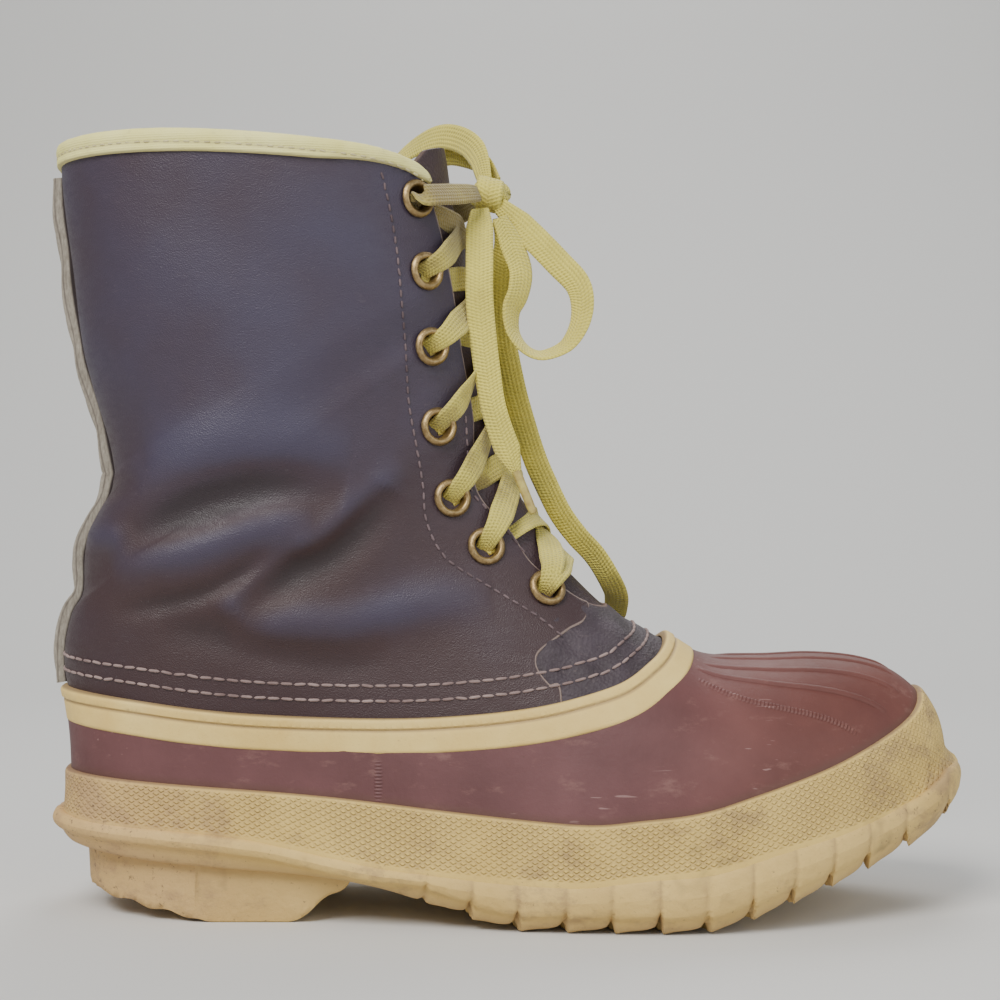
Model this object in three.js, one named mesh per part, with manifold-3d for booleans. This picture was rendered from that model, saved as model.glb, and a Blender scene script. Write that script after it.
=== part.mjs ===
// Pac boot, right foot: a rubber foot with a laced leather shaft, standing empty on its sole.
// Millimetres. +X points to the toe, +Y to the wearer's left (the inner side), +Z up.

import * as THREE from 'three';
import { mergeVertices } from 'three/addons/utils/BufferGeometryUtils.js';
import Module from 'manifold-3d';

const wasm = await Module();
wasm.setup();

// Driving sizes of the whole boot
const bootLength = 300;
const bootHeight = 250;
const ballWidth = 100;
const shaftWidth = 94;

// Walls and clearances
const clearance = 0.3;
const leatherWall = 2.2;
const vampWall = 1.8;
const rubberWall = 3;
const rubberProud = 1.5;
const tongueWall = 2;
const bindingWall = 1;
const bindingHeight = 7.5;
const insoleThickness = 5;

// Rubber parts round the foot
const bandHeight = 11.5;
const bandThickness = 2.2;
const foxingThickness = 1.4;
const lipProud = 4.4;
const toeLipProud = 8;
const heelInset = 3;
const lugDepth = 5.5;
const lugPitch = 14.5;
const lugGap = 3;
const ribWidth = 2.6;
const ribProud = 0.9;

// Metal and lace
const eyeletRadius = 6.2;
const eyeletHole = 3.9;
const eyeletBarrel = 0.4;
const laceWidth = 9;
const laceThickness = 1.6;
const finProud = 3.3;
const finThickness = 2.8;

// Ring points of each section, and the reach of the cutting prisms past the boot
const ringPoints = 20;
const reach = 120;

// Foot sections, toe to heel seat: lengths and heights as shares of bootLength and bootHeight,
// middle and half as shares of ballWidth. Each section runs from a sole point to an instep point.
const footColumns = ['soleX', 'soleZ', 'topX', 'topZ', 'middle', 'half', 'widest', 'lowPower', 'highPower'];
const footRows = [
  [0.466, 0.128, 0.466, 0.232, 0.065, 0.1, 0.5, 2.6, 2.2],
  [0.457, 0.1, 0.457, 0.258, 0.062, 0.165, 0.47, 3, 2.2],
  [0.44, 0.068, 0.44, 0.284, 0.055, 0.235, 0.45, 3.4, 2.2],
  [0.413, 0.036, 0.413, 0.306, 0.042, 0.305, 0.42, 4, 2.2],
  [0.377, 0, 0.377, 0.319, 0.026, 0.37, 0.4, 4.5, 2.2],
  [0.327, -0.032, 0.327, 0.324, 0.008, 0.43, 0.4, 5, 2.2],
  [0.267, -0.048, 0.267, 0.322, -0.008, 0.475, 0.42, 5, 2.2],
  [0.207, -0.056, 0.207, 0.326, -0.018, 0.498, 0.42, 5, 2.2],
  [0.14, -0.056, 0.163, 0.353, -0.023, 0.5, 0.4, 5, 2.2],
  [0.06, -0.056, 0.12, 0.384, -0.028, 0.485, 0.38, 5, 2.2],
  [-0.033, -0.056, 0.088, 0.414, -0.032, 0.45, 0.35, 5, 2.2],
  [-0.14, -0.056, 0.06, 0.452, -0.034, 0.41, 0.34, 5, 2.3],
  [-0.25, -0.056, 0.033, 0.5, -0.02, 0.385, 0.36, 5, 2.4],
  [-0.35, -0.056, 0.013, 0.546, -0.008, 0.375, 0.4, 4.4, 2.4],
];

// Heel and shaft sections, heel seat to above the collar: the same columns,
// with middle and half as shares of shaftWidth. The sole point climbs the back of the boot.
const shaftRows = [
  [-0.427, -0.04, -0.001, 0.588, 0, 0.4, 0.43, 3.6, 2.4],
  [-0.47, 0.012, -0.011, 0.624, 0, 0.405, 0.45, 3, 2.3],
  [-0.487, 0.08, -0.018, 0.656, 0, 0.41, 0.46, 2.7, 2.3],
  [-0.488, 0.168, -0.023, 0.684, 0, 0.418, 0.47, 2.5, 2.3],
  [-0.49, 0.24, -0.027, 0.708, 0, 0.427, 0.48, 2.4, 2.2],
  [-0.5, 0.32, -0.032, 0.74, 0, 0.435, 0.49, 2.3, 2.2],
  [-0.492, 0.38, -0.035, 0.764, 0, 0.44, 0.5, 2.3, 2.2],
  [-0.479, 0.412, -0.037, 0.78, 0, 0.443, 0.5, 2.3, 2.2],
  [-0.476, 0.472, -0.04, 0.798, 0, 0.447, 0.5, 2.3, 2.1],
  [-0.449, 0.554, -0.045, 0.828, 0, 0.458, 0.5, 2.3, 2.1],
  [-0.446, 0.588, -0.047, 0.842, 0, 0.462, 0.5, 2.3, 2.1],
  [-0.467, 0.684, -0.054, 0.882, 0, 0.476, 0.5, 2.3, 2.1],
  [-0.481, 0.754, -0.058, 0.908, 0, 0.484, 0.5, 2.3, 2.1],
  [-0.498, 0.908, -0.068, 0.962, 0, 0.5, 0.5, 2.3, 2.1],
  [-0.503, 0.98, -0.072, 0.99, 0, 0.505, 0.5, 2.3, 2.1],
  [-0.505, 1.04, -0.078, 1.04, 0, 0.508, 0.5, 2.3, 2.1],
];

// Foremost point of the toe
const toeTip = { x: 0.474, z: 0.184, middle: 0.065 };

// Lines drawn on the side of the boot, back to front, as shares of bootLength and bootHeight
const collarLine = [[-0.56, 1.002], [-0.37, 1.001], [-0.21, 0.99], [-0.15, 0.984], [-0.11, 0.972],
  [-0.09, 0.956], [-0.07, 0.94]];

// Height of the collar tape at the points of that line, as shares of bindingHeight
const tapeShares = [1, 1, 0.9, 0.7, 0.6, 0.4, 0.3];
const bandTopLine = [[-0.56, 0.3], [-0.42, 0.284], [-0.3, 0.268], [-0.18, 0.261], [-0.08, 0.263],
  [0.02, 0.276], [0.1, 0.3], [0.138, 0.326], [0.157, 0.346], [0.165, 0.37], [0.168, 0.4]];
const foxingTopLine = [[-0.56, 0.187], [-0.42, 0.182], [-0.22, 0.165], [-0.06, 0.146],
  [0.065, 0.135], [0.13, 0.141], [0.19, 0.15], [0.25, 0.17], [0.325, 0.198], [0.385, 0.228], [0.43, 0.258],
  [0.446, 0.288], [0.452, 0.33]];
const soleTopLine = [[-0.56, 0.134], [-0.37, 0.12], [-0.27, 0.107], [-0.19, 0.088], [-0.11, 0.073], [0.05, 0.062], [0.12, 0.07], [0.2, 0.08], [0.27, 0.102], [0.35, 0.125], [0.42, 0.152],
  [0.455, 0.172], [0.48, 0.186], [0.56, 0.19]];
const waistLine = [[-0.56, 0.104], [-0.475, 0.09], [-0.4, 0.08], [-0.3, 0.07], [-0.2, 0.06], [-0.14, 0.048],
  [-0.1, 0.04]];
const treadLine = [[-0.1, 0.034], [-0.05, 0.014], [0, 0], [0.19, 0], [0.235, 0.012], [0.27, 0.026], [0.33, 0.05],
  [0.4, 0.08], [0.45, 0.105], [0.5, 0.135], [0.56, 0.17]];
const heelLine = [[-0.465, 0.1], [-0.466, 0.034], [-0.456, 0.026], [-0.42, 0.02], [-0.37, 0.009], [-0.325, 0],
  [-0.24, 0], [-0.222, 0.01], [-0.2, 0.03], [-0.175, 0.053], [-0.172, 0.1]];

// Front edge of the quarters over the vamp, sole side first
const quarterEdge = [[0.045, 0.12], [0.047, 0.29], [0.034, 0.305], [0.024, 0.32], [0.0207, 0.332], [0.024, 0.344],
  [0.042, 0.36], [0.057, 0.372], [0.073, 0.382], [0.08, 0.399], [0.077, 0.415], [0.09, 0.46]];

// Front edges of the quarters along the throat, collar first
const throatLine = [[-0.105, 1.06], [-0.094, 0.95], [-0.078, 0.873], [-0.066, 0.8], [-0.057, 0.725],
  [-0.045, 0.64], [-0.0427, 0.553], [-0.005, 0.4956], [0.018, 0.455], [0.06, 0.417], [0.08, 0.405], [0.1, 0.4]];

// Eyelet centres on the side of the boot, top to bottom
const eyeletPlaces = [[-0.107, 0.92], [-0.095, 0.828], [-0.091, 0.732], [-0.083, 0.631], [-0.067, 0.538],
  [-0.032, 0.475], [0.032, 0.421]];

// Front view of the tongue: height as a share of bootHeight, half width as a share of shaftWidth
const tongueRows = [[0.999, 0.16], [0.992, 0.23], [0.97, 0.29], [0.9, 0.33], [0.8, 0.36], [0.6, 0.38],
  [0.5, 0.38], [0.4, 0.3], [0.35, 0.24]];

// Lengthwise ridges on the rubber toe, seen from above: lengths as shares of bootLength,
// distances from the middle as shares of ballWidth. The side joint stands on both sides.
const toeRidges = [
  [[0.2, 0.19], [0.3, 0.18], [0.41, 0.18]],
  [[0.19, 0.28], [0.26, 0.335], [0.37, 0.33]],
  [[0.2, -0.19], [0.3, -0.18], [0.41, -0.15]],
  [[0.19, -0.3], [0.26, -0.345], [0.365, -0.33]],
];
const sideJoint = [[-0.145, 0.172], [-0.145, 0.205]];

const colours = {
  leather: 0x33211f,
  tongue: 0x2a1b18,
  rubber: 0x7c3a30,
  band: 0xc9a468,
  foxing: 0xcda763,
  outsole: 0xd6b57a,
  binding: 0xd8cf8e,
  brass: 0x9a855c,
  lace: 0xb3a042,
  felt: 0x77705f,
  seam: 0x5a524e,
};

const side = { outer: -1, inner: 1 };

function named(columns, row) {
  return Object.fromEntries(columns.map((column, i) => [column, row[i]]));
}

const sections = [
  ...footRows.map((row) => ({ ...named(footColumns, row), width: ballWidth })),
  ...shaftRows.map((row) => ({ ...named(footColumns, row), width: shaftWidth })),
];

// Point of one section at an angle: 0 at the sole, half a turn at the instep, outer side first.
function sectionPoint(section, angle) {
  const rise = -Math.cos(angle);
  const power = 2 / (rise < 0 ? section.lowPower : section.highPower);
  const along = rise < 0
    ? section.widest * (1 - Math.abs(rise) ** power)
    : section.widest + (1 - section.widest) * rise ** power;
  const across = Math.sign(Math.sin(angle)) * Math.abs(Math.sin(angle)) ** power;
  return new THREE.Vector3(
    bootLength * (section.soleX + along * (section.topX - section.soleX)),
    section.width * (section.middle - across * section.half),
    bootHeight * (section.soleZ + along * (section.topZ - section.soleZ)),
  );
}

// Grid of the boot's outer skin, one ring for each section, and its outward directions
const skin = sections.map((section) => Array.from(
  { length: ringPoints },
  (unused, i) => sectionPoint(section, (2 * Math.PI * i) / ringPoints),
));
const tip = new THREE.Vector3(bootLength * toeTip.x, ballWidth * toeTip.middle, bootHeight * toeTip.z);
const outward = skin.map((ring, row) => ring.map((point, i) => {
  const ahead = row > 0 ? skin[row - 1][i] : tip;
  const behind = skin[Math.min(row + 1, skin.length - 1)][i];
  const next = ring[(i + 1) % ringPoints];
  const last = ring[(i + ringPoints - 1) % ringPoints];
  return new THREE.Vector3().subVectors(next, last)
    .cross(new THREE.Vector3().subVectors(behind, ahead)).normalize();
}));

function geometryOf(points, faces) {
  const geometry = new THREE.BufferGeometry();
  geometry.setAttribute('position', new THREE.Float32BufferAttribute(points.flatMap((p) => p.toArray()), 3));
  geometry.setIndex(faces.flat());
  return geometry;
}

function solidOf(geometry) {
  const bare = geometry.clone();
  bare.deleteAttribute('normal');
  bare.deleteAttribute('uv');
  const merged = mergeVertices(bare, 1e-4);
  return new wasm.Manifold(new wasm.Mesh({
    numProp: 3,
    vertProperties: merged.attributes.position.array,
    triVerts: new Uint32Array(merged.index.array),
  }));
}

// Closed body through rings of equal count, with a cap on each end.
function loft(rings) {
  const count = rings[0].length;
  const faces = [];
  for (let row = 0; row + 1 < rings.length; row += 1) {
    for (let i = 0; i < count; i += 1) {
      const a = row * count + i;
      const b = row * count + ((i + 1) % count);
      faces.push([a, b, b + count], [a, b + count, a + count]);
    }
  }
  const end = (rings.length - 1) * count;
  const caps = [[0, rings[0]], [end, rings[rings.length - 1]]];
  const points = rings.flat();
  caps.forEach(([start, ring], which) => {
    const centre = ring.reduce((sum, p) => sum.add(p), new THREE.Vector3()).divideScalar(count);
    points.push(centre);
    for (let i = 0; i < count; i += 1) {
      const a = start + i;
      const b = start + ((i + 1) % count);
      faces.push(which === 0 ? [b, a, points.length - 1] : [a, b, points.length - 1]);
    }
  });
  return geometryOf(points, faces);
}

// The whole boot as a filled form, its skin moved outward by proud(point).
function form(proud) {
  const amount = typeof proud === 'function' ? proud : () => proud;
  const rings = skin.map((ring, row) => ring.map(
    (point, i) => point.clone().addScaledVector(outward[row][i], amount(point)),
  ));
  const nose = tip.clone();
  nose.x += amount(tip);
  const geometry = loft(rings);
  const position = geometry.attributes.position;
  position.setXYZ(position.count - 2, nose.x, nose.y, nose.z);
  return solidOf(geometry);
}

const forms = new Map();
function formAt(proud) {
  if (!forms.has(proud)) {
    forms.set(proud, form(proud));
  }
  return forms.get(proud);
}

function wall(outer, inner) {
  return formAt(outer).subtract(formAt(inner));
}

// Smooth line through a table of shares, as points of the side view, none of them under the floor.
function sideLine(table, steps = 1) {
  const points = table.map(([x, z]) => new THREE.Vector2(x * bootLength, z * bootHeight));
  const line = new THREE.SplineCurve(points).getPoints((points.length - 1) * steps);
  return line.map((p) => new THREE.Vector2(p.x, Math.max(p.y, 0)));
}

function lowered(line, drop, shares = []) {
  return line.map((p, i) => new THREE.Vector2(p.x, p.y - drop * (shares[i] ?? 1)));
}

// The same line moved square to itself, to the right of its run.
function beside(line, distance) {
  return line.map((p, i) => {
    const run = line[Math.min(i + 1, line.length - 1)].clone().sub(line[Math.max(i - 1, 0)]).normalize();
    return new THREE.Vector2(p.x + run.y * distance, p.y - run.x * distance);
  });
}

// Prism through the whole width over a side view outline.
function sidePrism(outline, depth = 2 * reach) {
  const geometry = new THREE.ExtrudeGeometry(new THREE.Shape(outline), {
    depth, bevelEnabled: false, steps: 1,
  });
  geometry.rotateX(Math.PI / 2);
  geometry.translate(0, depth / 2, 0);
  return solidOf(geometry);
}

// Prism running forward over a front view outline of heights and half widths.
function frontPrism(rows, startX, grow = 0) {
  const right = rows.map(([height, half]) => new THREE.Vector2(
    half * shaftWidth + grow, height * bootHeight,
  ));
  const left = right.map((p) => new THREE.Vector2(-p.x, p.y)).reverse();
  const geometry = new THREE.ExtrudeGeometry(new THREE.Shape([...right, ...left]), {
    depth: bootLength, bevelEnabled: false, steps: 1,
  });
  geometry.applyMatrix4(new THREE.Matrix4().makeBasis(
    new THREE.Vector3(0, 1, 0), new THREE.Vector3(0, 0, 1), new THREE.Vector3(1, 0, 0),
  ));
  geometry.translate(startX, 0, 0);
  return solidOf(geometry);
}

const farLeft = -bootLength / 2 - reach;
const farRight = bootLength / 2 + reach;
const ceiling = bootHeight + reach;

function below(line) {
  const last = line[line.length - 1];
  return sidePrism([
    new THREE.Vector2(farLeft, -reach), new THREE.Vector2(farRight, -reach),
    new THREE.Vector2(farRight, last.y), ...[...line].reverse(), new THREE.Vector2(farLeft, line[0].y),
  ]);
}

const collar = sideLine(collarLine);
const bandTop = sideLine(bandTopLine);
const bandLow = beside(bandTop, bandHeight);
const foxingTop = sideLine(foxingTopLine);
const soleTop = sideLine(soleTopLine);

const underCollar = below(lowered(collar, bindingWall + clearance));
const underBand = below(beside(bandTop, bandHeight + clearance));
const underLeather = below(beside(bandTop, bandHeight - clearance));
const throatEdge = sideLine(throatLine);
const throat = sidePrism([
  ...throatEdge, new THREE.Vector2(farRight, throatEdge[throatEdge.length - 1].y),
  new THREE.Vector2(farRight, throatEdge[0].y),
]);

// Leather: quarters with a vamp let in under their front edge
const edge = sideLine(quarterEdge);
function vampArea(grow) {
  const line = beside(edge, -grow);
  return sidePrism([
    ...line, new THREE.Vector2(farRight, line[line.length - 1].y), new THREE.Vector2(farRight, line[0].y),
  ].reverse());
}

const surface = new THREE.Mesh(loft(skin), new THREE.MeshBasicMaterial({ side: THREE.DoubleSide }));
surface.geometry.computeVertexNormals();
const ray = new THREE.Raycaster();

// Skin point and outward direction met by a sight line from outside the boot.
function sighted(from, along) {
  ray.set(from, along);
  const hit = ray.intersectObject(surface)[0];
  const normal = hit.normal.clone().normalize();
  return { point: hit.point, normal: normal.dot(along) > 0 ? normal.negate() : normal };
}

const onFront = (y, z) => sighted(new THREE.Vector3(bootLength, y, z), new THREE.Vector3(-1, 0, 0));
const onTop = (x, y) => sighted(new THREE.Vector3(x, y, bootHeight), new THREE.Vector3(0, 0, -1));
const onSide = (sign, x, z) => sighted(
  new THREE.Vector3(x, sign * reach, z), new THREE.Vector3(0, -sign, 0),
);

function seated(geometry, place) {
  const turn = new THREE.Quaternion().setFromUnitVectors(new THREE.Vector3(0, 1, 0), place.normal);
  return geometry.applyQuaternion(turn).translate(place.point.x, place.point.y, place.point.z);
}

const eyelets = Object.entries(side).flatMap(([name, sign]) => eyeletPlaces.map(([x, z], i) => (
  { name: `eyelet_${name}_${i + 1}`, ...onSide(sign, x * bootLength, z * bootHeight) }
)));

const eyeletSides = 8;
const holeDepth = 8;
const holes = eyelets.map((eyelet) => solidOf(seated(
  new THREE.CylinderGeometry(
    eyeletHole + eyeletBarrel + clearance, eyeletHole + eyeletBarrel + clearance, holeDepth, eyeletSides,
  ),
  eyelet,
))).reduce((all, hole) => all.add(hole));

const quarters = wall(0, -leatherWall).intersect(underCollar).subtract(underLeather)
  .subtract(throat).subtract(vampArea(clearance)).subtract(holes);

const vampSink = 0.4;
const vamp = wall(-vampSink, -vampSink - vampWall).intersect(underCollar).subtract(underLeather)
  .intersect(vampArea(0)).subtract(throat);

// Tongue under the throat edges
const tongueBack = -bootLength / 4;
const tongueGap = leatherWall + 2 * clearance;
const tongue = wall(-tongueGap, -tongueGap - tongueWall)
  .intersect(frontPrism(tongueRows, tongueBack));

// Rubber foot
const rubberInside = rubberProud - rubberWall;
const foxingSeat = rubberProud + clearance;
const plainShell = wall(rubberProud, rubberInside).intersect(underBand)
  .subtract(below(lowered(soleTop, -clearance)));
const topBand = wall(clearance + bandThickness, clearance).intersect(below(bandTop)).subtract(below(bandLow));
const foxing = wall(foxingSeat + foxingThickness, foxingSeat).intersect(below(foxingTop))
  .subtract(below(lowered(soleTop, -clearance)));

// Flat strip carried over a run of places: width across the run, from one height over the skin to another.
function strip(places, width, low, high, taper = 1) {
  return solidOf(loft(places.map(({ point, normal }, i) => {
    const ahead = places[Math.min(i + 1, places.length - 1)].point;
    const behind = places[Math.max(i - 1, 0)].point;
    const across = new THREE.Vector3().subVectors(ahead, behind).cross(normal).setLength(width / 2);
    const corner = (height, share) => point.clone().addScaledVector(normal, height).addScaledVector(across, share);
    return [corner(low, 1), corner(low, -1), corner(high, -taper), corner(high, taper)];
  })));
}

const ribs = [
  ...toeRidges.map((ridge) => ridge.map(([x, y]) => onTop(x * bootLength, y * ballWidth))),
  ...Object.values(side).map((sign) => sideJoint.map(([x, z]) => onSide(sign, x * bootLength, z * bootHeight))),
];
const ribTaper = 0.5;
const clearOfFoxing = below(lowered(foxingTop, -clearance));
const rubberShell = ribs.map((places) => strip(places, ribWidth, 0, rubberProud + ribProud, ribTaper))
  .reduce((shell, rib) => shell.add(rib.intersect(underBand).subtract(clearOfFoxing)), plainShell);

function mesh(name, solid, colour, roughness, metalness = 0) {
  const { vertProperties, triVerts } = solid.getMesh();
  const geometry = new THREE.BufferGeometry();
  geometry.setAttribute('position', new THREE.BufferAttribute(vertProperties, 3));
  geometry.setIndex(new THREE.BufferAttribute(triVerts, 1));
  const object = new THREE.Mesh(geometry, new THREE.MeshStandardMaterial({ color: colour, roughness, metalness }));
  object.name = name;
  return object;
}

// Outsole: a plate with its lip, heel block and forefoot lugs in one moulding
const toeLipStart = 0.38;
const lip = (point) => lipProud + (toeLipProud - lipProud)
  * THREE.MathUtils.smoothstep(point.x, bootLength * toeLipStart, bootLength * toeTip.x);
const lipForm = form(lip);
const waist = sideLine(waistLine);
const tread = sideLine(treadLine);
const underside = [...waist, ...tread];
const plate = lipForm.intersect(below(soleTop)).subtract(below(underside));
const heel = formAt(-heelInset).intersect(sidePrism(sideLine(heelLine, 2).reverse()));

// Gap between two lugs: shares of lugGap forward and of lugDepth up
const grooveShape = [[-1, -0.55], [1, -0.55], [0.5, 0.6], [0, 1], [-0.4, 0.7]];
const grooves = [];
const treadCurve = new THREE.SplineCurve(tread);
const treadLength = treadCurve.getLength();
for (let along = lugPitch; along < treadLength - lugPitch; along += lugPitch) {
  const at = treadCurve.getPointAt(along / treadLength);
  const run = treadCurve.getTangentAt(along / treadLength);
  const up = new THREE.Vector2(-run.y, run.x);
  grooves.push(sidePrism(grooveShape.map(([forward, rise]) => (
    at.clone().addScaledVector(run, forward * lugGap).addScaledVector(up, rise * lugDepth)
  ))));
}
const outsole = grooves.reduce((body, groove) => body.subtract(groove), plate.add(heel.intersect(below(soleTop))));

// Insole on the plate
const insole = formAt(rubberInside - clearance).intersect(below(lowered(soleTop, -clearance - insoleThickness)))
  .subtract(below(lowered(soleTop, -clearance)));

// Tape folded over the top edge of the shaft
const tapeFold = wall(clearance, -leatherWall - clearance).intersect(below(lowered(collar, bindingWall)));
const tongueRoom = wall(-leatherWall, -tongueGap - tongueWall - clearance)
  .intersect(frontPrism(tongueRows, tongueBack, clearance));
const binding = wall(clearance + bindingWall, -leatherWall - clearance - bindingWall)
  .intersect(below(collar)).subtract(below(lowered(collar, bindingHeight, tapeShares)))
  .subtract(tapeFold).subtract(throat).subtract(tongueRoom);

// Raised seam up the back, between the rubber and the tape
const backLine = shaftRows.map(([x, z]) => new THREE.Vector2(x * bootLength, z * bootHeight));
const finOutline = [...beside(backLine, -clearance), ...beside(backLine, -finProud).reverse()];
const backSeam = sidePrism(finOutline, finThickness)
  .intersect(below(lowered(collar, bindingHeight + clearance))).subtract(below(lowered(bandTop, -clearance)));

// Rolled metal eyelets
const rolledEdge = 1.2;
const eyeletSeat = 0.9;
const eyeletTop = eyeletSeat + rolledEdge;
const barrelEnd = clearance - leatherWall;
const eyeletProfile = [
  [eyeletHole, barrelEnd], [eyeletHole + eyeletBarrel, barrelEnd], [eyeletHole + eyeletBarrel, eyeletSeat],
  [eyeletRadius, eyeletSeat], [eyeletRadius - rolledEdge / 2, eyeletTop],
  [eyeletHole, eyeletTop], [eyeletHole, barrelEnd],
].map(([r, y]) => new THREE.Vector2(r, y));

// Flat lace: a bar at the bottom, crossings from row to row, and two ends rising to the knot
const laceLow = eyeletTop + laceThickness * 0.75;
const middleLow = 0.6;
const riserWidth = 5.4;
const rows = eyeletPlaces.length;
const knotPlace = new THREE.Vector3(-9, -2, 236);
const knotRadius = 5.5;
const knotGap = 1.05;

// Shares of a crossing where it bends: at the throat edges and over the middle of the tongue
const bends = [0, 0.16, 0.5, 0.84, 1];

function crossing(from, to, over = 0) {
  return strip(bends.map((share) => {
    const at = new THREE.Vector3().lerpVectors(from.point, to.point, share);
    const place = onFront(at.y, at.z);
    const lift = over + (share === 0.5 ? middleLow : laceLow);
    place.normal.lerpVectors(from.normal, to.normal, share).normalize();
    place.point.addScaledVector(place.normal, lift);
    return place;
  }), laceWidth, 0, laceThickness);
}

function riser(from) {
  const start = from.point.clone().addScaledVector(from.normal, laceLow + bindingWall);
  const end = knotPlace.clone();
  end.x -= knotRadius + knotGap;
  const middle = start.clone().lerp(end, 0.5).addScaledVector(from.normal, laceLow);
  return strip(
    [start, middle, end].map((point) => ({ point, normal: from.normal })), riserWidth, 0, laceThickness,
  );
}

const outerRow = eyelets.slice(0, rows);
const innerRow = eyelets.slice(rows);
const bars = [crossing(outerRow[rows - 1], innerRow[rows - 1])];
for (let i = rows - 1; i > 0; i -= 1) {
  bars.push(crossing(outerRow[i], innerRow[i - 1]), crossing(innerRow[i], outerRow[i - 1], laceThickness / 2));
}
bars.push(riser(outerRow[0]), riser(innerRow[0]));
const lacing = bars.reduce((all, bar) => all.add(bar));

// Free lace, hanging from the knot: routes of the bow's two loops and the two ends
const laceRoutes = {
  lace_loop_outer: [[-5.6, -4.7, 232], [5.8, -10, 220.5], [14, -13, 211.6], [20, -15, 204.7], [21.6, -16, 197.8],
    [20.3, -16, 190.6], [16, -15.5, 184.3], [8.5, -15, 181.4], [2.9, -14.5, 183.4], [-1.1, -14, 189],
    [-1.7, -13.5, 196.2], [0.6, -13, 201.8], [1.5, -12, 209], [-1, -11, 217], [-5.5, -10.5, 227]],
  lace_loop_inner: [[-10.4, 0.9, 241], [-13, 8, 251], [-18, 15, 257], [-26, 23, 260], [-35, 31.5, 258], [-44, 40, 252.5],
    [-50, 45.5, 244], [-53, 48.5, 234], [-49, 48, 226], [-42, 44.5, 225], [-38, 41.5, 232], [-36, 39.5, 241],
    [-33, 35, 250], [-26, 27, 254.5], [-17, 19, 252.5], [-10, 12, 248], [-6, 6, 241]],
  lace_end_inner: [[-5, 2, 229], [-3.5, 3, 221], [-4, 4, 211], [-4.5, 4.5, 199], [-4, 4.5, 188], [-1.5, 4, 175],
    [1, 4, 165], [6, 3.5, 149], [10.5, 3, 138.5], [15, 3, 129.5], [20.5, 3, 122], [26.5, 4, 115.5],
    [31, 6, 108.5], [34, 11, 102.5], [34.5, 17, 98], [34, 23, 93], [33, 28, 87.5]],
  lace_end_outer: [[-12, -9, 230], [-12, -15, 221], [-12, -19, 211], [-12, -21, 200], [-11, -22, 188],
    [-9.5, -22.5, 176], [-7.5, -23, 164], [-4, -23.5, 153], [0, -23.8, 143]],
};
const tubeWidth = 3.6;
const tipLength = 15;
const tipWidth = 3;

function laceTube(points) {
  const curve = new THREE.CatmullRomCurve3(points.map((p) => new THREE.Vector3(...p)), false, 'centripetal');
  const section = new THREE.Shape();
  section.absarc(0, 0, tubeWidth / 2, 0, 2 * Math.PI);
  const steps = Math.round(curve.getLength() / (3 * tubeWidth));
  return new THREE.ExtrudeGeometry(section, { extrudePath: curve, steps, curveSegments: 4, bevelEnabled: false });
}

// Lace tip in line with the last stretch of its route
function laceTip(points) {
  const last = new THREE.Vector3(...points[points.length - 1]);
  const normal = last.clone().sub(new THREE.Vector3(...points[points.length - 2])).normalize();
  const point = last.addScaledVector(normal, clearance + tipLength / 2);
  return seated(new THREE.CylinderGeometry(tipWidth / 2, tipWidth / 2, tipLength, 8), { point, normal });
}

const knot = new THREE.SphereGeometry(knotRadius, 10, 6);
knot.translate(knotPlace.x, knotPlace.y, knotPlace.z);

const boot = new THREE.Group();
boot.add(
  mesh('outsole', outsole, colours.outsole, 0.7),
  mesh('foxing', foxing, colours.foxing, 0.75),
  mesh('rubber_shell', rubberShell, colours.rubber, 0.65),
  mesh('top_band', topBand, colours.band, 0.65),
  mesh('quarters', quarters, colours.leather, 0.5),
  mesh('vamp', vamp, colours.leather, 0.6),
  mesh('tongue', tongue, colours.tongue, 0.6),
  mesh('insole', insole, colours.felt, 0.95),
  mesh('collar_binding', binding, colours.binding, 0.8),
  mesh('back_seam', backSeam, colours.seam, 0.8),
  mesh('lace_crossings', lacing, colours.lace, 0.9),
);
eyelets.forEach((eyelet) => {
  const geometry = seated(new THREE.LatheGeometry(eyeletProfile, eyeletSides), eyelet);
  boot.add(mesh(eyelet.name, solidOf(geometry), colours.brass, 0.35, 0.9));
});

// The origin is under the middle of the boot itself, without the free lace.
const box = new THREE.Box3().setFromObject(boot);
const middle = box.getCenter(new THREE.Vector3());
boot.position.set(-middle.x, -middle.y, -box.min.z);

boot.add(mesh('lace_knot', solidOf(knot), colours.lace, 0.9));
Object.entries(laceRoutes).forEach(([name, points]) => {
  boot.add(mesh(name, solidOf(laceTube(points)), colours.lace, 0.9));
});
boot.add(
  mesh('lace_tip_inner', solidOf(laceTip(laceRoutes.lace_end_inner)), colours.lace, 0.5),
  mesh('lace_tip_outer', solidOf(laceTip(laceRoutes.lace_end_outer)), colours.lace, 0.5),
);

export default boot;
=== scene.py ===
"""Right pac boot: a moulded rubber foot with a laced leather shaft, standing empty on its sole.

Row frame, metres: +X to the toe, +Y to the inner side of the foot, +Z up.
"""
import math

import bpy
import numpy as np
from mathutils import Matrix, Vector
from mathutils.bvhtree import BVHTree


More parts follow.
